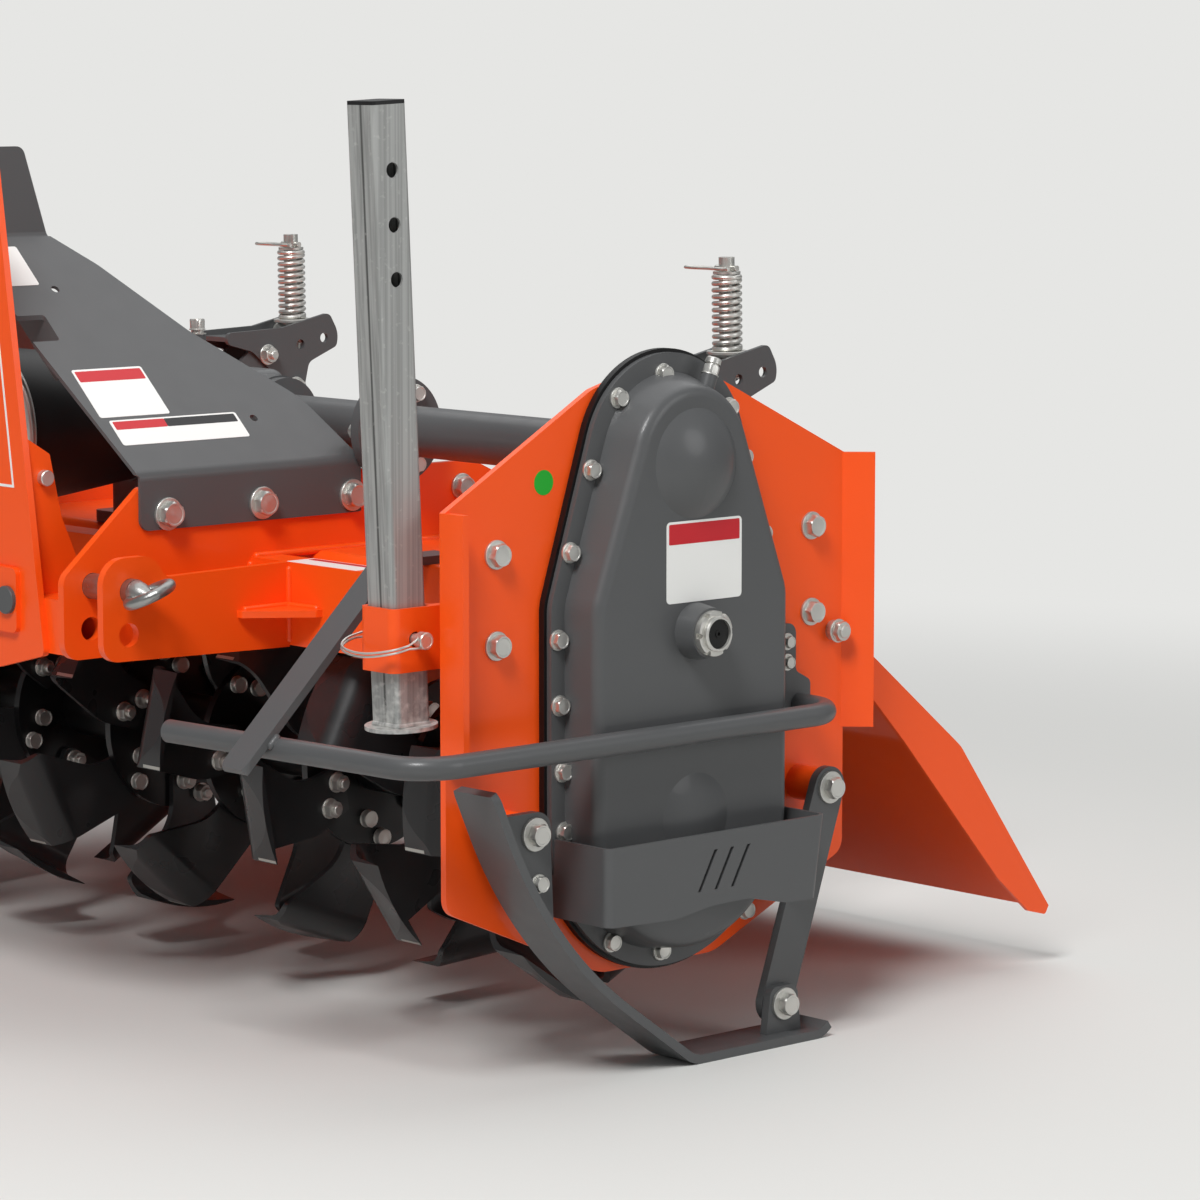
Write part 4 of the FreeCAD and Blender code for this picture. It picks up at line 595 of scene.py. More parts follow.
@dataclass(frozen=True)
class BoltHead:
    """A hexagon on a round flange or washer.

    across_flats and head are the hexagon's size, flange_radius and flange the disc under it, tip the
    length of thread that stands out of a nut and tip_radius its radius.
    """

    across_flats: float
    head: float
    flange_radius: float
    flange: float = 1.6
    columns: int = 36
    tip: float = 0.0
    tip_radius: float = 0.0

    def rings(self, turn: float) -> tuple[np.ndarray, np.ndarray]:
        """Distance of each ring from the seat, and its radius at each angle.

        The hexagon's radius is half its width across flats over the cosine of the angle to the
        nearest flat; the chamfer keeps the smaller of that and a circle.

        Args:
            turn: how far the hexagon is turned, in radians.
        Returns:
            The distances, one a row, and the radii, one for each row and angle.
        """
        angle = np.linspace(0, 2 * math.pi, self.columns, endpoint=False) + turn
        sixth = math.pi / 3
        hexagon = self.across_flats / 2 / np.cos((angle + sixth / 2) % sixth - sixth / 2)
        circle = np.full_like(hexagon, 1.0)
        inner = self.across_flats / 2
        rows = [(0.0, circle * self.flange_radius), (self.flange, circle * self.flange_radius),
                (self.flange + 0.5, circle * (self.flange_radius - 0.5)),
                (self.flange + 0.6, np.minimum(hexagon, self.flange_radius - 0.6)),
                (self.head - inner * 0.16, hexagon),
                (self.head, np.minimum(hexagon, inner)),
                (self.head, circle * inner * 0.86)]
        if self.tip:
            rows[-1] = (self.head, circle * self.tip_radius)
            rows += [(self.head + self.tip - 1.0, circle * self.tip_radius),
                     (self.head + self.tip, circle * (self.tip_radius - 1.0))]
        else:
            rows.append((self.head - 0.5, circle * inner * 0.8))
        return np.array([r[0] for r in rows]), np.stack([r[1] for r in rows])


M14 = BoltHead(22.5, 12.5, 15.6, 2.4)
COVER_BOLT = BoltHead(25.5, 14.0, 18.2, 2.6)
CASE_BOLT = BoltHead(16.5, 9.0, 11.2, 1.8)
M14_WASHER = BoltHead(22.0, 13.5, 18.0, 3.0)
M12 = BoltHead(18.0, 10.0, 13.5, 2.0)
M10 = BoltHead(16.0, 9.0, 10.5, 1.6)
M8 = BoltHead(12.5, 8.0, 9.6, 1.6)
LOCK_NUT = BoltHead(19.0, 11.0, 13.5, 2.0, tip=6.0, tip_radius=6.0)
TINE_NUT = BoltHead(19.0, 12.0, 12.0, 1.5, columns=18, tip=5.0, tip_radius=6.0)
TINE_HEAD = BoltHead(19.0, 9.0, 10.5, 0.8, columns=18)


def weld(surface: Surface, points: list[tuple[float, float, float]], leg: float = 5.0,
         paint: int = 0) -> None:
    """A fillet weld: a tube whose radius ripples by a tenth along its straight runs.

    Args:
        surface: what it is added to.
        points: the corners of its run.
        leg: its radius.
        paint: number of the piece's finish.
    """
    corners = np.array(points, float)
    station = np.concatenate([[0.0], np.cumsum(np.linalg.norm(np.diff(corners, axis=0), axis=1))])
    steps = np.linspace(0, station[-1], max(int(station[-1] / 2.2), 4))
    path = np.stack([np.interp(steps, station, corners[:, k]) for k in range(3)], -1)
    ripple = leg * (0.92 + 0.1 * np.abs(np.sin(np.arange(len(path)) * 1.25)))
    ripple[[0, -1]] *= 0.55
    surface.swept(path, ripple, columns=10, paint=paint)


def rounded_corners(width: float, height: float, radius: float, steps: int = 6) -> np.ndarray:
    """Outline of a rounded rectangle about zero: quarter circles about four centres.

    Args:
        width: its size along the first axis.
        height: its size along the second.
        radius: the corners' radius.
        steps: points on each corner.
    Returns:
        The outline's points, two numbers a row.
    """
    angle = np.linspace(0, math.pi / 2, steps)
    centres = np.array([(1, 1), (-1, 1), (-1, -1), (1, -1)]) * np.array([width / 2 - radius,
                                                                        height / 2 - radius])
    turns = angle[None, :] + np.arange(4)[:, None] * math.pi / 2
    ring = np.stack([np.cos(turns), np.sin(turns)], -1) * radius
    return (centres[:, None] + ring).reshape(-1, 2)


def unit_steps(corners: np.ndarray) -> np.ndarray:
    """A step from each corner of an outline towards its inside, by 1 from both of its edges.

    It is the sum of the unit vectors along the two edges, over the sine of the angle between them.

    Args:
        corners: the outline, one corner a row.
    Returns:
        The steps, one a row.
    """
    back = np.roll(corners, 1, 0) - corners
    ahead = np.roll(corners, -1, 0) - corners
    back /= np.linalg.norm(back, axis=1)[:, None]
    ahead /= np.linalg.norm(ahead, axis=1)[:, None]
    sine = np.linalg.norm(np.cross(back, ahead), axis=1)[:, None]
    return (back + ahead) / sine


@dataclass(frozen=True)
class Sticker:
    """A blank label: a white card with plain bands of colour, on a flat face.

    centre is its middle, right and up are its directions on the face, bands are
    (left, bottom, right, top, paint) as shares of the card.
    """

    centre: tuple[float, float, float]
    right: tuple[float, float, float]
    up: tuple[float, float, float]
    width: float
    height: float
    bands: tuple[tuple[float, float, float, float, int], ...] = ()
    corner: float = 4.0
    band_corner: float = 1.5
    card_thick: float = 0.35
    band_from: float = 0.3
    band_thick: float = 0.2

    def onto(self, surface: Surface) -> None:
        """Adds the card and its bands to a surface.

        Args:
            surface: what they are added to.
        """
        right = unit(self.right)
        up = unit(np.asarray(self.up, float) - right * np.dot(self.up, right))
        out = np.cross(right, up)
        centre = np.asarray(self.centre, float)
        flat = rounded_corners(self.width, self.height, self.corner)
        surface.slab(centre + flat[:, :1] * right + flat[:, 1:] * up, out, self.card_thick)
        for left, bottom, far, top, paint in self.bands:
            middle = np.array([(left + far - 1) / 2 * self.width, (bottom + top - 1) / 2 * self.height])
            card = rounded_corners((far - left) * self.width, (top - bottom) * self.height,
                                   self.band_corner)
            place = centre + (card[:, :1] + middle[0]) * right + (card[:, 1:] + middle[1]) * up
            surface.slab(place + out * self.band_from, out, self.band_thick, paint)


# Sub-assemblies

@dataclass
class PaintedNodes:
    """Gives each CAD node that stays visible its finish."""

    finishes: dict[str, Finish] = field(default_factory=lambda: {
        "orange_paint": ORANGE_COAT, "grey_paint": GREY_COAT, "black_paint": BLACK_PAINT,
        "tine_steel": BLADE, "zinc_steel": ZINC, "bare_steel": STEEL,
        "black_plastic": PLASTIC, "sealing_plate": GASKET})
    special: dict[str, Finish] = field(default_factory=lambda: {
        "stand_leg": DRAWN, "hitch_pin_left": FORGED, "hitch_pin_right": FORGED})

    def build(self) -> None:
        """Puts the finish of each node's slot on its mesh."""
        slots = {part["node"]: part["material_slot"] for part in frame["record"]["subparts"]}
        for name, node in frame["nodes"].items():
            finish = self.special.get(name, self.finishes[slots[name]])
            node.data.materials.clear()
            node.data.materials.append(PALETTE.get(finish))
            LOG.info("%s: %s", name, finish.name)


@dataclass
class ChainCase:
    """Chain case: rim bolts, filler plug, castle nut and blank label."""

    flange_face: float = 780.0
    paired_bolts: tuple[tuple[float, float], ...] = (
        (190.0, 645.0), (160.0, 559.5), (143.0, 468.0), (145.0, 398.0), (149.0, 327.0), (151.5, 262.0))
    single_bolts: tuple[tuple[float, float], ...] = (
        (294.5, 741.5), (229.0, 719.0), (392.0, 700.0), (219.0, 134.0), (292.0, 115.0), (420.0, 143.0))
    boss: tuple[float, float, float] = (848.0, AXIS_Y, 468.0)
    breather: tuple[float, float, float] = (800.0, 345.0, 739.0)
    breather_way: tuple[float, float, float] = (0.0, 6.0, 15.0)
    plug_hexagon: BoltHead = BoltHead(16.5, 10.5, 9.6, 1.0)
    plug_sink: float = 0.5
    plug_cap_at: float = 9.5
    plug_cap: tuple[tuple[float, float], ...] = (
        (0, 6.5), (2.5, 6.5), (2.8, 8.2), (8.0, 8.2), (9.2, 7.2), (9.6, 5))
    nut_radius: float = 24.4
    slot_radius: float = 20.2
    chamfer_radius: float = 23.6
    slots: int = 6
    slot_share: float = 1 / 6
    nut_columns: int = 72
    nut_flange: float = 2.4
    crown_end: float = 8.2
    sleeve: tuple[tuple[float, float], ...] = (
        (8.4, 19.4), (12.2, 19.4), (13.4, 18.2), (13.4, 16.2), (9.0, 15.8))
    # Disc in the nut's bore, coloured nearly black as painted shade of the bore.
    bore_shade_disc: tuple[tuple[float, float], ...] = (
        (9.0, 15.7), (10.6, 15.7), (10.8, 4.2), (11.8, 4.0), (11.8, 2.0), (9.8, 1.8))
    label: Sticker = Sticker((824.0, 314.5, 543.5), (0.0, 1.0, 0.0), (0.0, 0.0, 1.0), 111.0, 87.5,
                             ((0.03, 0.72, 0.97, 0.97, 1),), 5.0)

    def build(self) -> None:
        """Builds and dresses the case's small parts."""
        bolts = Surface()
        mirrored = tuple((2 * AXIS_Y - y, z) for y, z in self.paired_bolts)
        for number, place in enumerate(self.paired_bolts + mirrored + self.single_bolts):
            bolts.bolt((self.flange_face, *place), (1, 0, 0), CASE_BOLT, number * 0.7)
        bolts.piece("chain_case_bolts", Spot.FRAME, [ZINC])
        self.filler()
        self.castle_nut()
        sticker = Surface()
        self.label.onto(sticker)
        sticker.piece("chain_case_label", Spot.FRAME, [VINYL_WHITE, VINYL_RED])

    def filler(self) -> None:
        """Filler and breather plug on the case's neck: a hexagon, a waist and a round cap."""
        surface = Surface()
        foot, way = np.array(self.breather), unit(self.breather_way)
        surface.bolt(foot - way * self.plug_sink, way, self.plug_hexagon, 0.3)
        surface.turned(foot + way * self.plug_cap_at, way, self.plug_cap)
        surface.piece("chain_case_filler_plug", Spot.FRAME, [ZINC])

    def castle_nut(self) -> None:
        """Castle nut on the boss, with a disc in its bore coloured nearly black as painted shade.

        The nut is a ring whose radius drops at its slots, which take up slot_share of its round.
        """
        surface = Surface()
        column = np.arange(self.nut_columns)
        every = self.nut_columns // self.slots
        whole = np.ones(self.nut_columns)
        slotted = np.where(column % every < every * self.slot_share, self.slot_radius, self.nut_radius)
        rows = [(0.0, self.nut_radius * whole), (self.nut_flange, self.nut_radius * whole),
                (self.nut_flange + 0.1, slotted), (self.crown_end - 0.6, slotted),
                (self.crown_end, np.minimum(slotted, self.chamfer_radius))]
        rows += [(distance, radius * whole) for distance, radius in self.sleeve]
        surface.ringed(self.boss, (1, 0, 0), np.array([row[0] for row in rows]),
                       np.stack([row[1] for row in rows]))
        # Painted shade: the disc in the bore takes the nearly black colour that stands for the bore's
        # shadow.
        surface.turned(self.boss, (1, 0, 0), self.bore_shade_disc, paint=1)
        surface.piece("chain_case_castle_nut", Spot.FRAME, [ZINC, BORE_SHADOW_PAINT])


@dataclass
class EndPlates:
    """Bolts of both end plates and the plain green dot."""

    face: float = 765.0
    inner_face: float = 749.0
    bolts: tuple[tuple[float, float], ...] = ((70.0, 563.0), (70.0, 467.0), (535.5, 559.5), (535.5, 463.0))
    hinge: tuple[float, float] = (571.0, 439.0)
    hinge_washer: float = 9.0
    hinge_nut: BoltHead = BoltHead(21.0, 9.0, 13.5, 0.6, tip=3.5, tip_radius=7.6)
    dot: tuple[float, float] = (137.0, 634.0)
    dot_radius: float = 13.4

    def build(self) -> None:
        """Builds the plates' bolts and nuts."""
        surface = Surface()
        for number, (y, z) in enumerate(self.bolts):
            surface.bolt((self.face, y, z), (1, 0, 0), M14, 0.35 + number * 0.8)
            surface.bolt((self.inner_face, y, z), (-1, 0, 0), M14, 0.2 + number * 0.5)
        surface.mirrored().piece("end_plate_bolts", Spot.FRAME, [ZINC])
        nut = Surface()
        nut.bolt((self.face + self.hinge_washer, *self.hinge), (1, 0, 0), self.hinge_nut, 0.4)
        nut.mirrored().piece("gate_hinge_nuts", Spot.FRAME, [ZINC])
        dot = Surface()
        dot.turned((self.face, *self.dot), (1, 0, 0), [(0, self.dot_radius), (0.3, self.dot_radius)])
        dot.piece("green_dot_sticker", Spot.FRAME, [VINYL_GREEN])


@dataclass
class ParkingStand:
    """Stand: locking pin with its double wire bail, and the weld of the foot."""

    half_sleeve: float = 28.05
    tail: float = 18.0
    neck: float = 9.0
    pin_radius: float = 6.5
    head_at: float = 36.6
    head: tuple[tuple[float, float], ...] = (
        (0, 8.6), (0.5, 9.1), (10, 9.1), (11, 8.2), (11, 6.6), (10.6, 6.2))
    foot_z: float = 387.5
    half_tube: float = 21.0
    foot_weld: float = 3.6
    strand: float = 1.25
    strand_gap: float = 1.75
    part_at_head: tuple[float, float] = (6.5, 0.16)
    part_at_tail: tuple[float, float] = (2.0, 0.1)
    bail: tuple[tuple[float, float, float], ...] = (
        (749.0, -17.0, 0.0), (750.0, -30.0, -4.0), (744.0, -50.0, -9.0), (722.0, -62.0, -13.5),
        (700.0, -66.0, -14.5), (676.0, -63.0, -12.0), (662.0, -52.0, -8.0), (659.0, -36.0, -3.0),
        (664.0, -16.0, 0.0))

    def build(self) -> None:
        """Builds the pin, the bail and the foot's weld."""
        pin = Surface()
        pin.turned((STAND_X - self.half_sleeve - self.tail, STAND_Y, STAND_PIN_Z), (1, 0, 0),
                   [(0, self.pin_radius - 2), (2, self.pin_radius),
                    (2 * self.half_sleeve + self.tail + self.neck, self.pin_radius)])
        pin.turned((STAND_X + self.head_at, STAND_Y, STAND_PIN_Z), (1, 0, 0), self.head)
        pin.piece("stand_lock_pin", Spot.FRAME, [ZINC])
        self.wire_bail()
        foot = Surface()
        middle = STAND_Y + (STAND_PIN_Z - self.foot_z) * math.sin(math.radians(STAND_LEAN))
        corners = [(STAND_X + x * self.half_tube, middle + y * self.half_tube, self.foot_z)
                   for x, y in ((-1, -1), (1, -1), (1, 1), (-1, 1), (-1, -1))]
        weld(foot, corners, self.foot_weld)
        foot.piece("stand_foot_weld", Spot.STAND, [DRAWN])

    def wire_bail(self) -> None:
        """The bail's two strands: a curve through the bail's points, one strand above, one below.

        They lie together along the loop and part round the pin's head and tail, by a distance that
        falls evenly over a share of the curve.
        """
        bail = Surface()
        path = smooth_path([(x, y, STAND_PIN_Z + z) for x, y, z in self.bail])
        share = np.linspace(0, 1, len(path))
        (head_gap, head_share), (tail_gap, tail_share) = self.part_at_head, self.part_at_tail
        spread = (self.strand_gap + head_gap * np.clip(1 - share / head_share, 0, 1)
                  + tail_gap * np.clip((share - 1 + tail_share) / tail_share, 0, 1))
        for side in (1, -1):
            strand = path.copy()
            strand[:, 2] += side * spread
            bail.swept(strand, self.strand, columns=10)
        bail.piece("stand_pin_bail", Spot.FRAME, [ZINC])


@dataclass
class Hitch:
    """Hitch: welds, pin forgings, mast pins, decal frames and the blank label on the beam."""

    clevis_x: float = 382.0
    cradle_x: float = 313.0
    plate: float = 10.0
    beam_front: float = 100.0
    beam_weld_z: tuple[float, float] = (430.0, 515.0)
    beam_weld: float = 4.5
    gusset_z: float = 472.0
    gusset_weld: float = 4.0
    gusset_run: tuple[tuple[float, float], ...] = ((1.0, 34.0), (1.0, 96.0), (52.0, 100.0))
    top_weld: tuple[float, float, float] = (104.0, 530.0, 520.0)
    mast_front: float = -149.0
    mast_pin: tuple[float, float, float] = (205.0, -155.0, 483.0)
    mast_pin_end: tuple[tuple[float, float], ...] = ((0, 15.6), (4.2, 15.6), (5, 14.8))
    mast_stub: tuple[float, float, float] = (228.0, -120.4, 617.2)
    mast_stub_end: tuple[tuple[float, float], ...] = ((0, 8.8), (7.4, 8.8), (8.4, 7.8))
    cradle_bolt: tuple[float, float] = (412.0, 578.0)
    decal_line: float = 3.0
    decal_thick: float = 0.35
    decal: tuple[tuple[float, float], ...] = (
        (171.0, 607.0), (212.5, 607.0), (173.0, 880.0), (134.0, 880.0))
    label: Sticker = Sticker((437.0, 120.0, 520.0), (1.0, 0.0, 0.0), (0.0, 1.0, 0.0), 122.0, 38.0,
                             ((0.05, 0.68, 0.95, 0.94, 1),), 2.0)
    pin: tuple[float, float, float] = (391.0, -118.0, 505.0)
    pin_way: tuple[float, float, float] = (1.0, 0.05, -0.12)
    forging: tuple[tuple[float, float], ...] = (
        (0, 13.7), (5, 13.2), (10, 12.2), (15, 10.0), (20, 7.4), (25, 5.2), (29, 2.5))

    def build(self) -> None:
        """Builds the welds, the pins and the blank panels."""
        self.welds()
        pins = Surface()
        pins.turned(self.mast_pin, (0, -1, 0), self.mast_pin_end)
        pins.mirrored().piece("mast_pins", Spot.FRAME, [GREY_COAT])
        lump = Surface()
        lump.turned(self.pin, self.pin_way, self.forging)
        lump.mirrored().piece("hitch_pin_forgings", Spot.FRAME, [FORGED], 60.0)
        stubs = Surface()
        stubs.turned(self.mast_stub, (1, 0, 0), self.mast_stub_end)
        stubs.bolt((self.cradle_x, *self.cradle_bolt), (1, 0, 0), M14, 0.3)
        stubs.mirrored().piece("mast_and_cradle_bolts", Spot.FRAME, [ZINC])
        self.panels()

    def welds(self) -> None:
        """Beads where the plates and gussets meet the beam, and along the cradle plates' tops."""
        bead = Surface()
        for face in (self.clevis_x, self.cradle_x):
            for x in (face, face - self.plate):
                weld(bead, [(x, self.beam_front, z) for z in self.beam_weld_z], self.beam_weld)
        weld(bead, [(self.clevis_x + x, y, self.gusset_z) for x, y in self.gusset_run], self.gusset_weld)
        front, back, top = self.top_weld
        weld(bead, [(self.cradle_x + 1, y, top) for y in (front, back)], self.beam_weld)
        bead.mirrored().piece("hitch_welds", Spot.FRAME, [ORANGE_COAT], 60.0)

    def panels(self) -> None:
        """White line frames on the mast's legs and the blank label on the beam."""
        decal = Surface()
        outer = np.array([(x, self.mast_front, z) for x, z in self.decal])
        inner = outer + unit_steps(outer) * self.decal_line
        decal.border(outer, inner, (0, -1, 0), self.decal_thick)
        decal.mirrored().piece("mast_decal_frames", Spot.FRAME, [VINYL_WHITE])
        card = Surface()
        self.label.onto(card)
        card.piece("beam_label", Spot.FRAME, [VINYL_WHITE, VINYL_RED])


@dataclass
class Drive:
    """Upper drive: the gearbox's breather and the bolts of the axle tube's middle flange."""

    plug: tuple[float, float, float] = (0.0, 267.5, 748.0)
    joint: tuple[float, float] = (320.0, 334.0)
    axis: tuple[float, float] = (AXIS_Y, 652.0)
    circle: float = 47.0
    joint_bolts: int = 6
    plug_foot: tuple[tuple[float, float], ...] = ((-1, 10.6), (0, 10.6), (0.4, 7.5), (5, 7.5))
    plug_head: BoltHead = BoltHead(17.0, 13.0, 9.6, 1.2)
    plug_rise: float = 4.0

    def build(self) -> None:
        """Builds the breather and the flange's bolts."""
        surface = Surface()
        surface.turned(self.plug, (0, 0, 1), self.plug_foot)
        surface.bolt(np.array(self.plug) + (0, 0, self.plug_rise), (0, 0, 1), self.plug_head)
        for number in range(self.joint_bolts):
            turn = 2 * math.pi * number / self.joint_bolts
            y, z = self.axis[0] + self.circle * math.cos(turn), self.axis[1] + self.circle * math.sin(turn)
            surface.bolt((self.joint[0], y, z), (-1, 0, 0), LOCK_NUT, 0.2)
            surface.bolt((self.joint[1], y, z), (1, 0, 0), M10, 0.5)
        surface.piece("drive_bolts", Spot.FRAME, [ZINC])


@dataclass
class GuardCovers:
    """Bolts and blank labels of the sloping guard plates."""

    foot_face: float = 317.0
    bolts: tuple[tuple[float, float], ...] = ((-18.0, 577.0), (114.0, 580.0), (244.0, 580.0))
    bend: tuple[float, float] = (313.0, 620.0)
    crest: tuple[float, float] = (36.0, 872.0)
    thick: float = 4.0
    cards: tuple[tuple, ...] = (
        (222.0, -12.0, 96.0, 74.0, ((0.03, 0.74, 0.97, 0.96, 1),)),
        (267.0, 36.0, 176.0, 38.0, ((0.02, 0.62, 0.42, 0.94, 1), (0.42, 0.62, 0.98, 0.94, 2))),
        (73.0, -50.0, 40.0, 62.0, ()))
    card_corner: float = 3.0

    def on_slope(self, x: float, y: float) -> tuple[float, float, float]:
        """A place on the slope's upper face.

        It lies on the line from the bend to the crest, and the plate's thickness out from it.

        Args:
            x: the line's place across the machine.
            y: the place from front to back.
        Returns:
            The place.
        """
        run = unit((self.crest[0] - self.bend[0], 0.0, self.crest[1] - self.bend[1]))
        out = np.array([run[2], 0.0, -run[0]])
        share = (x - self.bend[0]) / (self.crest[0] - self.bend[0])
        z = self.bend[1] + share * (self.crest[1] - self.bend[1])
        return tuple(np.array([x, y, z]) + out * self.thick)

    def build(self) -> None:
        """Builds the covers' bolts and labels."""
        bolts = Surface()
        for number, (y, z) in enumerate(self.bolts):
            bolts.bolt((self.foot_face, y, z), (1, 0, 0), COVER_BOLT, number * 0.9)
        bolts.mirrored().piece("guard_cover_bolts", Spot.FRAME, [ZINC])
        up = (self.crest[0] - self.bend[0], 0.0, self.crest[1] - self.bend[1])
        labels = Surface()
        for x, y, width, height, bands in self.cards:
            card = Sticker(self.on_slope(x, y), (0.0, 1.0, 0.0), up, width, height, bands, self.card_corner)
            card.onto(labels)
        labels.piece("guard_cover_labels", Spot.FRAME, [VINYL_WHITE, VINYL_RED, VINYL_BLACK])


@dataclass
class SpringArms:
    """Lift rods' coil springs, rockers and hair pins, and the arms' bolts."""

    x: float = 416.0
    eye: tuple[float, float] = (750.0, 350.0)
    swivel: tuple[float, float] = (744.0, 708.0)
    rocker_radius: float = 14.0
    rocker_half: float = 26.5
    washer: float = 4.0
    washer_profile: tuple[tuple[float, float], ...] = (
        (-3, 15), (0, 15), (0, 24.4), (0.6, 25), (3.4, 25), (4, 24.4), (4, 12.2), (-3, 12.2))
    spring: float = 92.0
    closed_share: float = 0.07
    coil_places: int = 480
    wire_columns: int = 10
    wire: float = 3.1
    coil_radius: float = 15.4
    turns: float = 12.5
    cheek: float = 33.0
    clip_rise: float = 6.2
    clip_wire: float = 2.1
    clip: tuple[tuple[float, float], ...] = (
        (-10.0, 0.0), (-24.0, 0.0), (-44.0, 0.0), (-57.0, -1.5), (-62.0, -7.0), (-57.0, -12.5),
        (-44.0, -13.5), (-26.0, -11.5), (-12.0, -12.5), (0.0, -14.5), (10.0, -12.5), (17.0, -13.5))
    bolts: tuple[tuple[float, float], ...] = ((675.0, 683.0), (722.0, 638.0))

    def build(self) -> None:
        """Builds both sides."""
        self.spring_on(LEFT, Spot.SWIVEL_LEFT, "left")
        self.clip_on(LEFT, Spot.ROD_LEFT, "left")
        self.spring_on(RIGHT, Spot.SWIVEL_RIGHT, "right")
        self.clip_on(RIGHT, Spot.ROD_RIGHT, "right")
        bolts = Surface()
        for number, (y, z) in enumerate(self.bolts):
            bolts.bolt((self.x + self.cheek, y, z), (1, 0, 0), M12, number * 0.6)
            bolts.bolt((self.x - self.cheek, y, z), (-1, 0, 0), LOCK_NUT, number * 0.6)
        bolts.mirrored().piece("spring_arm_bolts", Spot.FRAME, [ZINC])

    def rod(self, side: float) -> tuple[np.ndarray, np.ndarray]:
        """One side's rocker centre, and the way up along its rod.

        Args:
            side: LEFT or RIGHT.
        Returns:
            The centre and the unit vector.
        """
        way = unit((0.0, self.swivel[0] - self.eye[0], self.swivel[1] - self.eye[1]))
        return np.array([side * self.x, *self.swivel]), way

    def spring_on(self, side: float, spot: Spot, name: str) -> None:
        """Rocker, washer and coil of one side.

        The coil is a circle of the wire's radius carried round the rod: its middle lies at the
        coil's radius, turned by the running angle and raised by the pitch, which closes up at both
        ends.

        Args:
            side: LEFT or RIGHT.
            spot: the body that carries them.
            name: the side's name.
        """
        centre, way = self.rod(side)
        long, radius = 2 * self.rocker_half, self.rocker_radius
        surface = Surface()
        surface.turned(centre - np.array([self.rocker_half, 0, 0]), (1, 0, 0),
                       [(0, radius - 1), (1, radius), (long - 1, radius), (long, radius - 1)])
        base = centre + way * self.rocker_radius
        surface.turned(base, way, self.washer_profile)
        share = np.linspace(0, 1, self.coil_places)
        ease = np.clip((share - self.closed_share) / (1 - 2 * self.closed_share), 0, 1)
        rise = self.wire + (self.spring - 2 * self.wire - 0.6) * ease
        angle = 2 * math.pi * self.turns * share
        first, second = across(way)
        radial = np.cos(angle)[:, None] * first + np.sin(angle)[:, None] * second
        middle = base + way * self.washer + rise[:, None] * way + radial * self.coil_radius
        around = np.linspace(0, 2 * math.pi, self.wire_columns, endpoint=False)
        ring = (np.cos(around)[None, :, None] * radial[:, None]
                + np.sin(around)[None, :, None] * way[None, None])
        surface.grid(middle[:, None] + ring * self.wire)
        surface.piece(f"lift_spring_{name}", spot, [ZINC], replaces=(f"spring_swivel_{name}",))

    def clip_on(self, side: float, spot: Spot, name: str) -> None:
        """Hair pin through one rod over its spring: a wire carried along a curve through its points.

        Args:
            side: LEFT or RIGHT.
            spot: the body that carries it.
            name: the side's name.
        """
        centre, way = self.rod(side)
        middle = centre + way * (self.rocker_radius + self.washer + self.spring + self.clip_rise)
        clip = Surface()
        clip.swept(smooth_path([middle + (x, y, 0.0) for x, y in self.clip]), self.clip_wire,
                   columns=self.wire_columns)
        clip.piece(f"rod_clip_{name}", spot, [ZINC])


@dataclass
class Rotor:
    """Nuts, bolt heads and painted edge highlights of the tines."""

    flanges: int = 8
    tines: int = 6
    pitch: float = 190.0
    twist: float = 23.0
    thick: float = 10.0
    tine: float = 8.0
    roots: tuple[tuple[float, float], ...] = ((70.0, -11.0), (92.0, 11.0))
    tip_radius: float = 220.0
    edge_from: float = 36.0
    edge_to: float = 67.6
    edge_deg: tuple[float, float] = (0.55, 1.5)
    edge_lift: tuple[float, float] = (-1.2, 0.2)

    def build(self) -> None:
        """Dresses the tines of each flange, which point left and right by turns."""
        bolts, edges = Surface(), Surface()
        first = -self.pitch * (self.flanges - 1) / 2
        for i in range(self.flanges):
            x = first + self.pitch * i
            for j in range(self.tines):
                side = LEFT if j % 2 == 0 else RIGHT
                angle = math.radians(i * self.twist + j * 360.0 / self.tines)
                self.bolts_on(bolts, x, side, angle, i + j)
                self.edge_on(edges, x, side, angle)
        bolts.piece("tine_bolts", Spot.ROTOR, [ZINC])
        # The bright strips are painted highlights of the blades' lit bevels.
        edges.piece("tine_edges", Spot.ROTOR, [BLADE_EDGE_HIGHLIGHT])

    def bolts_on(self, surface: Surface, x: float, side: float, angle: float, turn: float) -> None:
        """Two nuts on a tine's root, and their heads on the flange's other face.

        Args:
            surface: what they are added to.
            x: the flange's middle.
            side: LEFT or RIGHT, the way the tine points.
            angle: the tine's turn round the rotor, in radians.
            turn: the hexagons' turn.
        """
        for radius, offset in self.roots:
            turned = angle + math.atan2(offset, radius)
            reach = math.hypot(radius, offset)
            y, z = AXIS_Y - reach * math.sin(turned), AXIS_Z + reach * math.cos(turned)
            surface.bolt((x + side * (self.thick / 2 + self.tine), y, z), (side, 0, 0), TINE_NUT, turn)
            surface.bolt((x - side * self.thick / 2, y, z), (-side, 0, 0), TINE_HEAD, turn)

    def edge_on(self, surface: Surface, x: float, side: float, angle: float) -> None:
        """A painted highlight along a blade's leading edge: a bright strip on the cylinder that the tips
        sweep.

        Each row is the strip's section at one angle round the rotor: two radii at two places across.

        Args:
            surface: what it is added to.
            x: the flange's middle.
            side: LEFT or RIGHT, the way the tine points.
            angle: the tine's turn round the rotor, in radians.
        """
        swing = np.radians(np.linspace(*self.edge_deg, 3)) - angle
        low, high = self.edge_lift
        corners = [(self.edge_from, low), (self.edge_to, low), (self.edge_to, high), (self.edge_from, high)]
        rows = [[(x + side * place, AXIS_Y + (self.tip_radius + lift) * math.sin(turn),
                  AXIS_Z + (self.tip_radius + lift) * math.cos(turn)) for place, lift in corners]
                for turn in swing]
        surface.grid(np.array(rows))


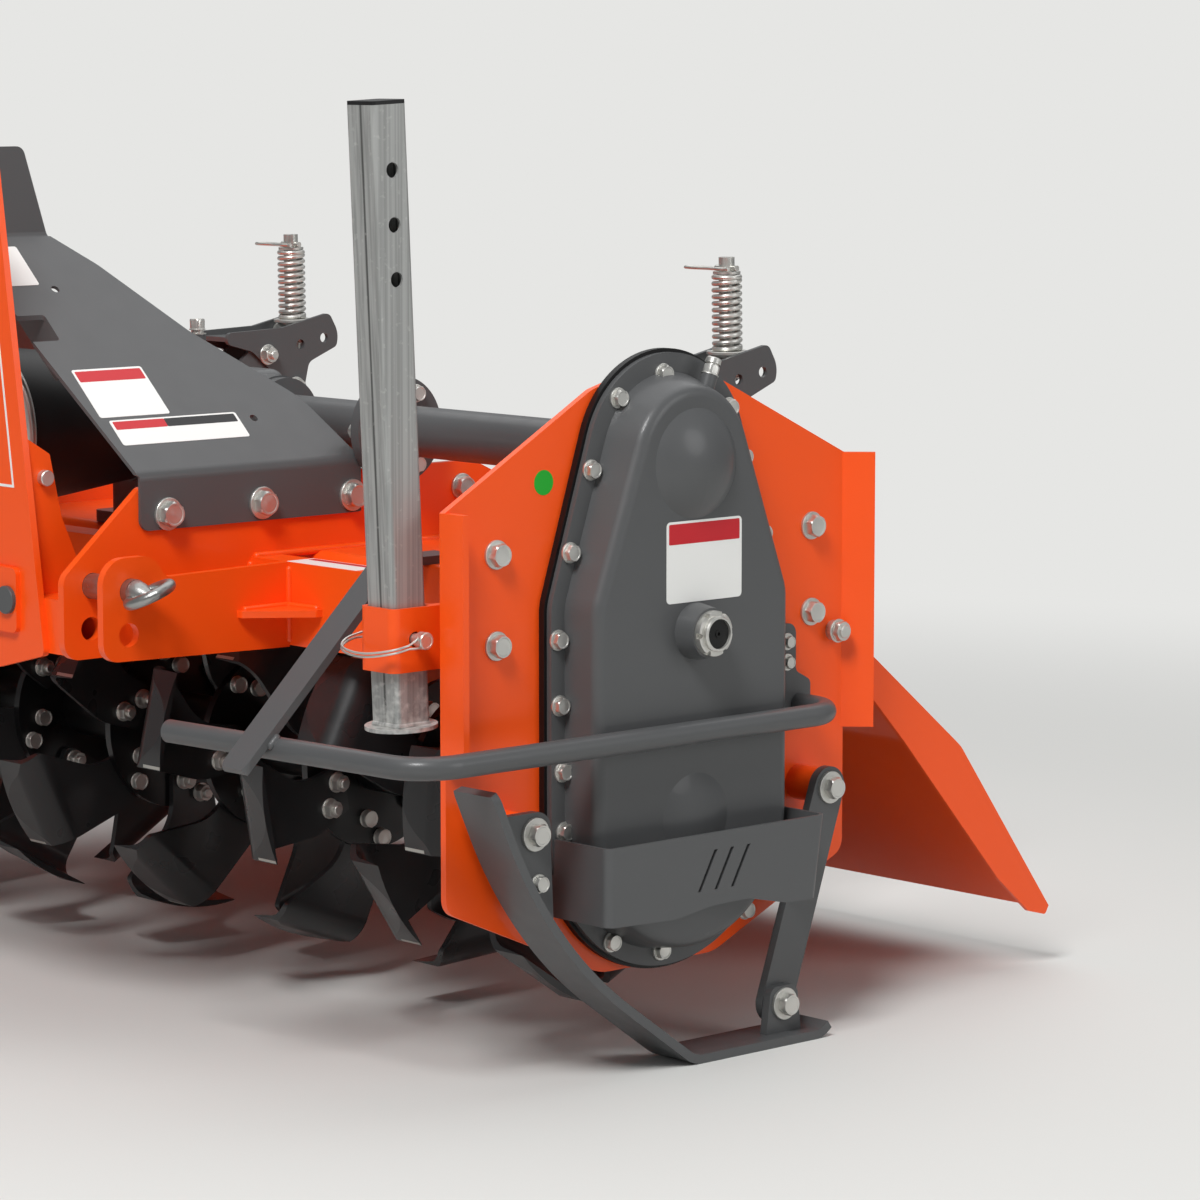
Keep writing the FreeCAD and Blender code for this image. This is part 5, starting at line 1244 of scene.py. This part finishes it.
@dataclass
class Skids:
    """Bolts of the skids and the guard hoops' brackets."""

    lug_face: float = 815.0
    foot_face: float = 825.0
    bolts: tuple[tuple[float, float], ...] = ((79.0, 273.0), (517.0, 273.0))
    second_bolt: tuple[float, float] = (84.0, 220.0)
    foot: tuple[float, float] = (437.0, 42.0)
    bracket_face: float = 773.0
    bracket_bolts: tuple[tuple[float, float], ...] = ((490.5, 434.0), (490.5, 411.0))

    def build(self) -> None:
        """Builds the bolts of both sides."""
        surface = Surface()
        for number, (y, z) in enumerate(self.bolts):
            surface.bolt((self.lug_face, y, z), (1, 0, 0), M14_WASHER, 0.4 + number)
        surface.bolt((self.lug_face, *self.second_bolt), (1, 0, 0), M10, 0.6)
        surface.bolt((self.foot_face, *self.foot), (1, 0, 0), M14_WASHER, 0.1)
        for y, z in self.bracket_bolts:
            surface.bolt((self.bracket_face, y, z), (1, 0, 0), M8, 0.2)
        surface.mirrored().piece("skid_and_hoop_bolts", Spot.FRAME, [ZINC])


@dataclass
class HoopStraps:
    """Welds between the guard hoops and their straps."""

    edges: tuple[tuple[float, float, float], ...] = ((590.0, -122.3, 370.3), (630.0, -119.7, 370.3))
    run: tuple[float, float] = (0.719, 0.695)
    reach: float = 9.0
    leg: float = 4.6

    def build(self) -> None:
        """Builds a bead on each side of each strap."""
        surface = Surface()
        for x, y, z in self.edges:
            ends = [(x, y + side * self.reach * self.run[0], z + side * self.reach * self.run[1])
                    for side in (-1, 1)]
            weld(surface, ends, self.leg)
        surface.mirrored().piece("hoop_welds", Spot.FRAME, [GREY_COAT], 60.0)


# Stage

@dataclass
class Studio:
    """Floor, lamps, sky and camera."""

    camera_m: tuple[float, float, float] = (4.239, -2.966, 1.098)
    look_back: tuple[float, float, float] = (0.7315, -0.6703, 0.1253)
    lens: float = 133.7
    floor: str = "DADAD7"
    backdrop: str = "E6E6E4"
    fade_m: tuple[float, float] = (1.5, 3.6)
    floor_size_m: float = 120.0
    sky_light: str = "E8EAEC"
    sky_strength: float = 0.3
    aim_m: tuple[float, float, float] = (0.3, 0.0, 0.4)
    lights: tuple[tuple[str, tuple[float, float, float], float, float], ...] = (
        ("key", (2.4, -3.4, 4.8), 1.9, 250.0), ("fill", (4.8, 1.8, 2.2), 2.4, 40.0),
        ("overhead", (-0.6, 1.2, 3.9), 5.5, 85.0))

    def build(self) -> None:
        """Builds the stage round the machine."""
        self.ground()
        self.sky()
        self.lamps()
        self.camera()

    def ground(self) -> None:
        """A plain pale floor that carries the shadow and passes into the backdrop's colour far off."""
        bpy.ops.mesh.primitive_plane_add(size=self.floor_size_m, location=(0.0, 0.0, 0.0))
        floor = bpy.context.object
        floor.name = "studio_floor"
        material, tree, shader = Finish("matt studio floor", self.floor, 0.8).start()
        place = add_node(tree, "ShaderNodeTexCoord")
        reach = add_node(tree, "ShaderNodeVectorMath", {"operation": "LENGTH"},
                         links={0: place.outputs["Object"]})
        far = add_node(tree, "ShaderNodeMapRange", {"interpolation_type": "SMOOTHSTEP"},
                       {1: self.fade_m[0], 2: self.fade_m[1]}, {0: reach.outputs["Value"]})
        glow = add_node(tree, "ShaderNodeEmission", values={0: linear(self.backdrop), 1: 1.0})
        ray = add_node(tree, "ShaderNodeLightPath")
        share = add_node(tree, "ShaderNodeMath", {"operation": "MULTIPLY"}, None,
                         {0: far.outputs[0], 1: ray.outputs["Is Camera Ray"]})
        mix = add_node(tree, "ShaderNodeMixShader", links={
            0: share.outputs[0], 1: shader.outputs[0], 2: glow.outputs[0]})
        output = [n for n in tree.nodes if n.type == "OUTPUT_MATERIAL"][0]
        tree.links.new(mix.outputs[0], output.inputs["Surface"])
        floor.data.materials.append(material)

    def sky(self) -> None:
        """A pale sky that the camera sees as the backdrop and that lights the machine softly."""
        world = bpy.data.worlds.new("pale studio")
        bpy.context.scene.world = world
        world.use_nodes = True
        tree = world.node_tree
        tree.nodes.clear()
        light = add_node(tree, "ShaderNodeBackground", values={
            0: linear(self.sky_light), 1: self.sky_strength})
        shown = add_node(tree, "ShaderNodeBackground", values={0: linear(self.backdrop), 1: 1.0})
        ray = add_node(tree, "ShaderNodeLightPath")
        mix = add_node(tree, "ShaderNodeMixShader", links={
            0: ray.outputs["Is Camera Ray"], 1: light.outputs[0], 2: shown.outputs[0]})
        add_node(tree, "ShaderNodeOutputWorld", links={"Surface": mix.outputs[0]})

    def lamps(self) -> None:
        """A key lamp over the camera's left shoulder, a weak fill and a wide softbox overhead."""
        for name, place, size, power in self.lights:
            lamp = bpy.data.lights.new(name, "AREA")
            lamp.shape, lamp.size, lamp.energy = "DISK", size, power
            item = bpy.data.objects.new(name, lamp)
            bpy.context.scene.collection.objects.link(item)
            item.location = place
            aim = -unit(np.array(place) - np.array(self.aim_m))
            item.rotation_mode = "QUATERNION"
            item.rotation_quaternion = Vector(aim).to_track_quat("-Z", "Y")

    def camera(self) -> None:
        """The photograph's camera: its place, direction and lens."""
        view = bpy.data.cameras.new("photo_camera")
        view.lens, view.sensor_width = self.lens, 36.0
        view.clip_start, view.clip_end = 0.1, 200.0
        item = bpy.data.objects.new("photo_camera", view)
        bpy.context.scene.collection.objects.link(item)
        item.location = np.array(self.camera_m) + ORIGIN_M
        item.rotation_mode = "QUATERNION"
        item.rotation_quaternion = (-Vector(self.look_back)).to_track_quat("-Z", "Y")
        bpy.context.scene.camera = item


def main() -> None:
    """Builds the sub-assemblies in order, then the stage."""
    logging.basicConfig(level=logging.INFO, format="%(message)s")
    bpy.context.scene.view_settings.view_transform = "Standard"
    for part in (PaintedNodes(), ChainCase(), EndPlates(), ParkingStand(), Hitch(), Drive(), GuardCovers(),
                 SpringArms(), Rotor(), Skids(), HoopStraps(), Studio()):
        part.build()


if __name__ == "__main__":
    main()
